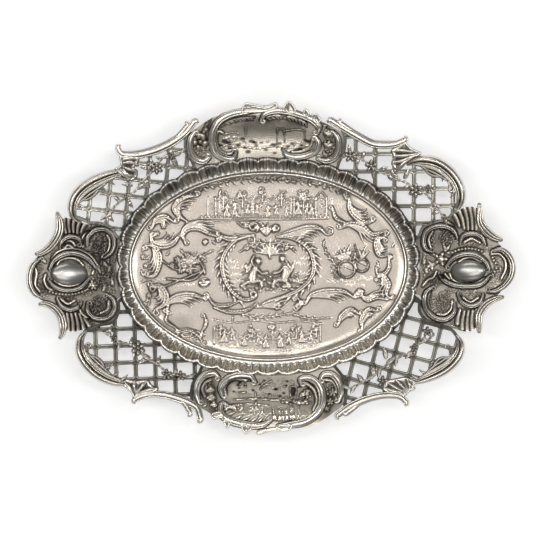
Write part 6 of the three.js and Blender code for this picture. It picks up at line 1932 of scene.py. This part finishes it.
# Ridges down the middles of the crests' leaves.
CREST_RIDGES = {
    "back": [
        [(-18, 107), (-10, 107.6), (-2, 106.8), (4, 109.4)],
        [(12.4, 105.4), (12.4, 110.4)],
        [(23.6, 102), (24.2, 105.6)],
        [(30, 98.8), (31, 102.4)],
    ],
    "front": [
        [(-37.6, -100.4), (-32, -99.6)], [(-28.4, -107.4), (-27.8, -103.4)], [(-16, -111), (-15.4, -107)],
        [(-7, -111), (0, -109.6), (12, -108.4)],
    ],
}


def crest(side):
    relief = relief_over(CREST_LEAVES[side])
    for outline in CREST_LEAVES[side]:
        filled(relief, outline, 1.3, 2.1)
    trails(relief, CREST_RIDGES[side], 0.7, 1.9)
    ornament(f"crest_{side}_silver", relief, "scroll_silver", 0.6)


# Leaves inside the corner scrolls: on which side of the line, and from where to where along it.
CORNER_LEAVES = {
    "back_left": (-1, (0.25, 0.95)),
    "back_right": (-1, (0.1, 0.75)),
    "front_left": (1, (0.25, 0.95)),
    "front_right": (-1, (0.3, 0.95)),
}
SHELL_RIBS = {
    "back_left": [
        [(-98, 72.4), (-93, 73.4), (-88.6, 72.6)],
        [(-98, 70), (-93.4, 70.6), (-89, 68.6)],
        [(-98.4, 67.4), (-94.6, 65.8), (-89.8, 64.6)],
        [(-98.6, 66), (-95.6, 62.4), (-90.6, 60.6)],
        [(-100, 65.6), (-97, 62), (-94, 59)],
    ],
    "back_right": [
        [(96, 77.4), (90, 78.4), (82.6, 78.2)], [(97, 75.8), (90, 74.8), (83.6, 74.6)],
        [(95, 74.2), (89, 71.4), (83, 70.2)], [(92.6, 72), (88.6, 68.6), (85.4, 66.8)],
    ],
    "front_left": [
        [(-93, -82), (-95.6, -79.4), (-97.4, -77.2)],
        [(-90.6, -82.6), (-91.2, -79.4), (-90.4, -77)],
        [(-88, -82.8), (-85.4, -79.6), (-82.4, -76.8)],
        [(-86, -84), (-80.6, -82.4), (-75.6, -81.8)],
    ],
    "front_right": [
        [(94.4, -81.6), (94, -78.4), (92, -75)],
        [(91, -82), (87.6, -78.4), (84.6, -76)],
        [(89, -83), (84, -80.6), (79.4, -77.8)],
        [(88, -84.2), (82.4, -83.2), (77.4, -81.6)],
    ],
}


def rim_leaves(corner):
    """Long leaves side by side inside a corner scroll, and shorter ones that turn off it."""
    relief = relief_over([PANELS[corner]["outline"]])
    side, (start, end) = CORNER_LEAVES[corner]
    line = CORNER_SCROLLS[corner][0]
    nested(relief, line, side, 3, 2.1, 1.05, 1.9, (start, end))
    comb(relief, line, side, 3, 7.0, 0.9, 1.5, (end - 0.3, end), lean=35)
    relief.tone += 0.34
    ornament(f"rim_leaves_{corner}_silver", relief, "scroll_silver", 0.5)


def shell(corner):
    """A shell with a rolled rim and ribs that spread from its root."""
    relief = relief_over([SHELLS[corner]])
    filled(relief, SHELLS[corner], 1.3, 1.9, 0.9)
    for line in SHELL_RIBS[corner]:
        relief.stroke(smooth([(*line[0], 0.8), (*line[1], 1.6), (*line[2], 1.1)], 0.3), 2.5)
    relief.tone -= 0.05
    ornament(f"shell_{corner}_silver", relief, "leaf_silver", 0.3, f"shell_{corner}")


# Leaves of the vines: place, heading, size. Flowers: place, radius, petals.
SPRAYS = {
    "back_left": {
        "leaves": [
            (-93, 55, 165, 6), (-95, 45, 290, 5), (-88, 56, 330, 6), (-84, 59.6, 290, 6.4),
            (-79.6, 66, 85, 6.4), (-80.6, 66.4, 165, 6), (-107, 37.6, 250, 5.4), (-109.6, 34.6, 205, 5),
            (-108.6, 35, 300, 5), (-66, 75, 95, 6.4), (-66, 74.6, 180, 6), (-65, 74, 285, 7),
            (-64.4, 75.4, 20, 6), (-101, 44, 130, 5), (-73, 72, 140, 4), (-89, 53, 20, 5),
        ],
        "flowers": [(-76, 66.6, 3.3, 6), (-97, 47.2, 2.0, 5), (-65.4, 74.6, 2.0, 5)],
    },
    "back_right": {
        "leaves": [
            (91, 60, 60, 6), (87, 59, 130, 5.6), (74, 65, 20, 6), (71, 66, 250, 5.6), (106, 53, 15, 5),
            (105.6, 52, 320, 4.6), (60, 73.6, 250, 5.6), (62, 73, 60, 5), (52.6, 76, 200, 5), (54, 77, 90, 5),
            (94.6, 55, 200, 5), (111, 42, 330, 5), (114.6, 37.4, 190, 5), (118, 33.4, 280, 4.6),
            (80, 62.4, 300, 5), (83, 60.6, 90, 5),
        ],
        "flowers": [
            (54.4, 74.6, 3.2, 5), (68.5, 68, 3.4, 5), (98.6, 51.6, 4.0, 6), (106.6, 53.4, 2.0, 5),
            (118, 33.4, 2.0, 4),
        ],
    },
    "front_left": {
        "leaves": [
            (-85.6, -59, 330, 5.6), (-82, -61.6, 200, 6), (-76, -65.6, 60, 5.6), (-94, -52.6, 70, 5),
            (-100, -50.4, 240, 5.4), (-107, -46, 150, 5), (-108.6, -44.6, 60, 5), (-64, -72.6, 70, 5),
            (-54.6, -74.4, 20, 5), (-90.6, -56, 250, 4.6),
        ],
        "flowers": [
            (-88.5, -54.6, 4.0, 6), (-69.4, -72.2, 2.8, 5), (-60, -73.4, 2.8, 5), (-105, -48, 2.0, 5),
        ],
    },
    "front_right": {
        "leaves": [
            (78.6, -61.4, 95, 7), (79.4, -64.6, 30, 6.4), (96, -57, 220, 6), (99.6, -53, 240, 6),
            (103, -51, 60, 4.6), (106, -49, 200, 5), (74.6, -69, 250, 5.6), (70, -73, 90, 7),
            (69.6, -74, 200, 5), (63, -77.6, 120, 6), (58, -80, 230, 5.6), (53.6, -82, 150, 5),
            (86, -61.8, 250, 5), (75.6, -76.6, 340, 5),
        ],
        "flowers": [(106.4, -43.6, 2.7, 5), (97.4, -54.6, 2.4, 5), (76.2, -77, 3.0, 5), (69.6, -66, 1.8, 5)],
    },
}


def vine(corner):
    """Two strands wound round each stem, with leaves and flowers over them."""
    lines = []
    for stem in VINES[corner]:
        rows = smooth(stem, 0.4)
        run = np.concatenate([[0], np.cumsum(np.hypot(*np.diff(rows, axis=0).T))])
        head = np.gradient(rows, axis=0)
        head /= np.hypot(*head.T)[:, None]
        for phase in (0, math.pi):
            off = 0.5 * np.sin(run * 0.9 + phase)
            z = sheet(*rows.T) + 0.7 + 0.35 * np.cos(run * 0.9 + phase)
            lines.append(np.column_stack([rows[:, 0] - head[:, 1] * off, rows[:, 1] + head[:, 0] * off,
                                          np.full(len(rows), 0.52), z]))
    # Front vines are darker, as painted shade; their leaves take the same darkening.
    age_and_shade = 0.55 if "front" in corner else 0.35
    swept(f"vine_{corner}", lines, "leaf_silver", 1.0, age_and_shade, Channel=0.0, Second=0.0, Section_points=9)
    relief = relief_over(VINES[corner], pad=9)
    for x, y, heading, size in SPRAYS[corner]["leaves"]:
        blade(relief, x, y, heading, size * 1.1, 0.27 * size, 1.5, 20)
    for x, y, radius, petals in SPRAYS[corner]["flowers"]:
        rosette(relief, x, y, 1.3 * radius, 2.1, petals)
    relief.tone += age_and_shade - 0.3
    ornament(f"vine_leaves_{corner}_silver", relief, "leaf_silver", 0.7)


for side in CREST_LEAVES:
    crest(side)
for corner in PANELS:
    rim_leaves(corner)
    shell(corner)
    vine(corner)

# Bosses: place and half widths

BOSSES = {"left": (-135, -4.5, 12.5, 8.3), "right": (134, -2.5, 12, 7.4)}
BOSS_RISE = 4.2


def boss_piece(side, bx, by, a, b):
    """A smooth almond: an oval dome that draws out to a point at its left and right."""
    rings, spokes = 30, 96
    rr, tt = np.meshgrid(np.sin(np.linspace(0, math.pi / 2, rings))[1:],
                         np.linspace(0, 2 * math.pi, spokes, endpoint=False), indexing="ij")
    waist = 0.8 + 0.2 * np.abs(np.sin(tt)) ** 0.5
    x = bx + a * rr * np.cos(tt)
    y = by + b * rr * np.sin(tt) * waist
    z = sheet(x, y) + 0.2 + BOSS_RISE * np.clip(1 - rr ** 2.2, 0, 1) ** 0.55
    top = [[bx, by, float(sheet(bx, by)) + 0.2 + BOSS_RISE]]
    verts = np.vstack([top, np.column_stack([x.ravel(), y.ravel(), z.ravel()])])
    k = np.arange(spokes)
    n = (k + 1) % spokes
    faces = [np.column_stack([np.zeros(spokes, int), 1 + k, 1 + n])]
    for i in range(rings - 2):
        q, w = 1 + i * spokes, 1 + (i + 1) * spokes
        faces.append(np.column_stack([q + k, w + k, w + n]))
        faces.append(np.column_stack([q + k, w + n, q + n]))
    # Painted shade with tarnish towards the rim, where the boss meets the plate.
    tarnish_and_shade = np.concatenate([[0.2], np.clip(0.2 + 0.7 * (rr.ravel() - 0.85) / 0.15, 0.2, 0.9)])
    finished(mesh_piece(f"boss_{side}_silver", verts, np.vstack(faces), tarnish_and_shade), "boss_silver", f"boss_{side}")


for side, place in BOSSES.items():
    boss_piece(side, *place)

# Floor, light and camera

paper = bpy.data.materials.new("paper")
paper.use_nodes = True
paper_tree = paper.node_tree
paper_tree.nodes.clear()
rays = [put(paper_tree, "ShaderNodeLightPath", out=kind)
        for kind in ("Is Camera Ray", "Is Glossy Ray", "Is Transmission Ray")]
seen = (rays[0] + rays[1] + rays[2]).clamped()
matte = put(paper_tree, "ShaderNodeBsdfDiffuse", {"Color": (0.8, 0.8, 0.8, 1)})
glow = put(paper_tree, "ShaderNodeEmission", {"Color": (1, 1, 1, 1), "Strength": seen * 0.43})
both = put(paper_tree, "ShaderNodeAddShader", {0: matte, 1: glow})
paper_tree.links.new(both.socket, paper_tree.nodes.new("ShaderNodeOutputMaterial").inputs[0])

mesh = bpy.data.meshes.new("ground")
FLOOR_HALF = 1.5
mesh.from_pydata([(-FLOOR_HALF, -FLOOR_HALF, 0), (FLOOR_HALF, -FLOOR_HALF, 0), (FLOOR_HALF, FLOOR_HALF, 0),
                  (-FLOOR_HALF, FLOOR_HALF, 0)], [], [(0, 1, 2, 3)])
mesh.materials.append(paper)
linked("ground", mesh)

# Soft lamps that face the tray: place and size in metres, power in watts.
LAMPS = {
    "overhead": ((0.0, 0.0, 1.6), (1.05, 0.86), 2.3),
    "key": ((0.06, 0.3, 1.55), (0.16, 0.12), 1.1),
    "strip_left": ((-0.7, 0.14, 1.5), (0.3, 0.95), 4.2),
    "strip_right": ((0.7, 0.06, 1.5), (0.3, 0.7), 4.0),
    "front_fill": ((0, -0.52, 1.45), (1.0, 0.36), 2.7),
    "front_low": ((0, -1.45, 0.9), (0.9, 0.35), 1.35),
    "window": ((-0.35, 1.25, 1.0), (1.3, 0.3), 3.6),
    "side": ((1.35, 0.2, 0.8), (0.2, 0.9), 1.3),
}
for name, (place, size, power) in LAMPS.items():
    light = bpy.data.lights.new(name, "AREA")
    light.shape = "RECTANGLE"
    light.size, light.size_y = size
    light.energy = power
    lamp = linked(name, light)
    lamp.location = place
    lamp.rotation_euler = (Vector((0, 0, 0)) - Vector(place)).to_track_quat("-Z", "Y").to_euler()

world = bpy.data.worlds.new("studio")
SCENE.world = world
world.use_nodes = True
backdrop = world.node_tree.nodes["Background"]
backdrop.inputs["Color"].default_value = (1, 1, 1, 1)
backdrop.inputs["Strength"].default_value = 0.2

# Straight above the tray. Its middle lies 5.5 pixels left of the picture's and 8 pixels above it.
PIXELS = 550
PIXEL = 0.674
AIM = (5.5, -8)
DISTANCE = 4.0
LEVEL = 0.022
SENSOR = 36
camera = bpy.data.cameras.new("camera")
camera.sensor_width = SENSOR
camera.lens = SENSOR * (DISTANCE - LEVEL) / (PIXELS * PIXEL * MM)
camera.clip_end = 20
viewer = linked("camera", camera)
viewer.location = ((AIM[0] * PIXEL + SHIFT[0]) * MM, (AIM[1] * PIXEL + SHIFT[1]) * MM, DISTANCE)
SCENE.camera = viewer
SCENE.view_settings.view_transform = "Standard"
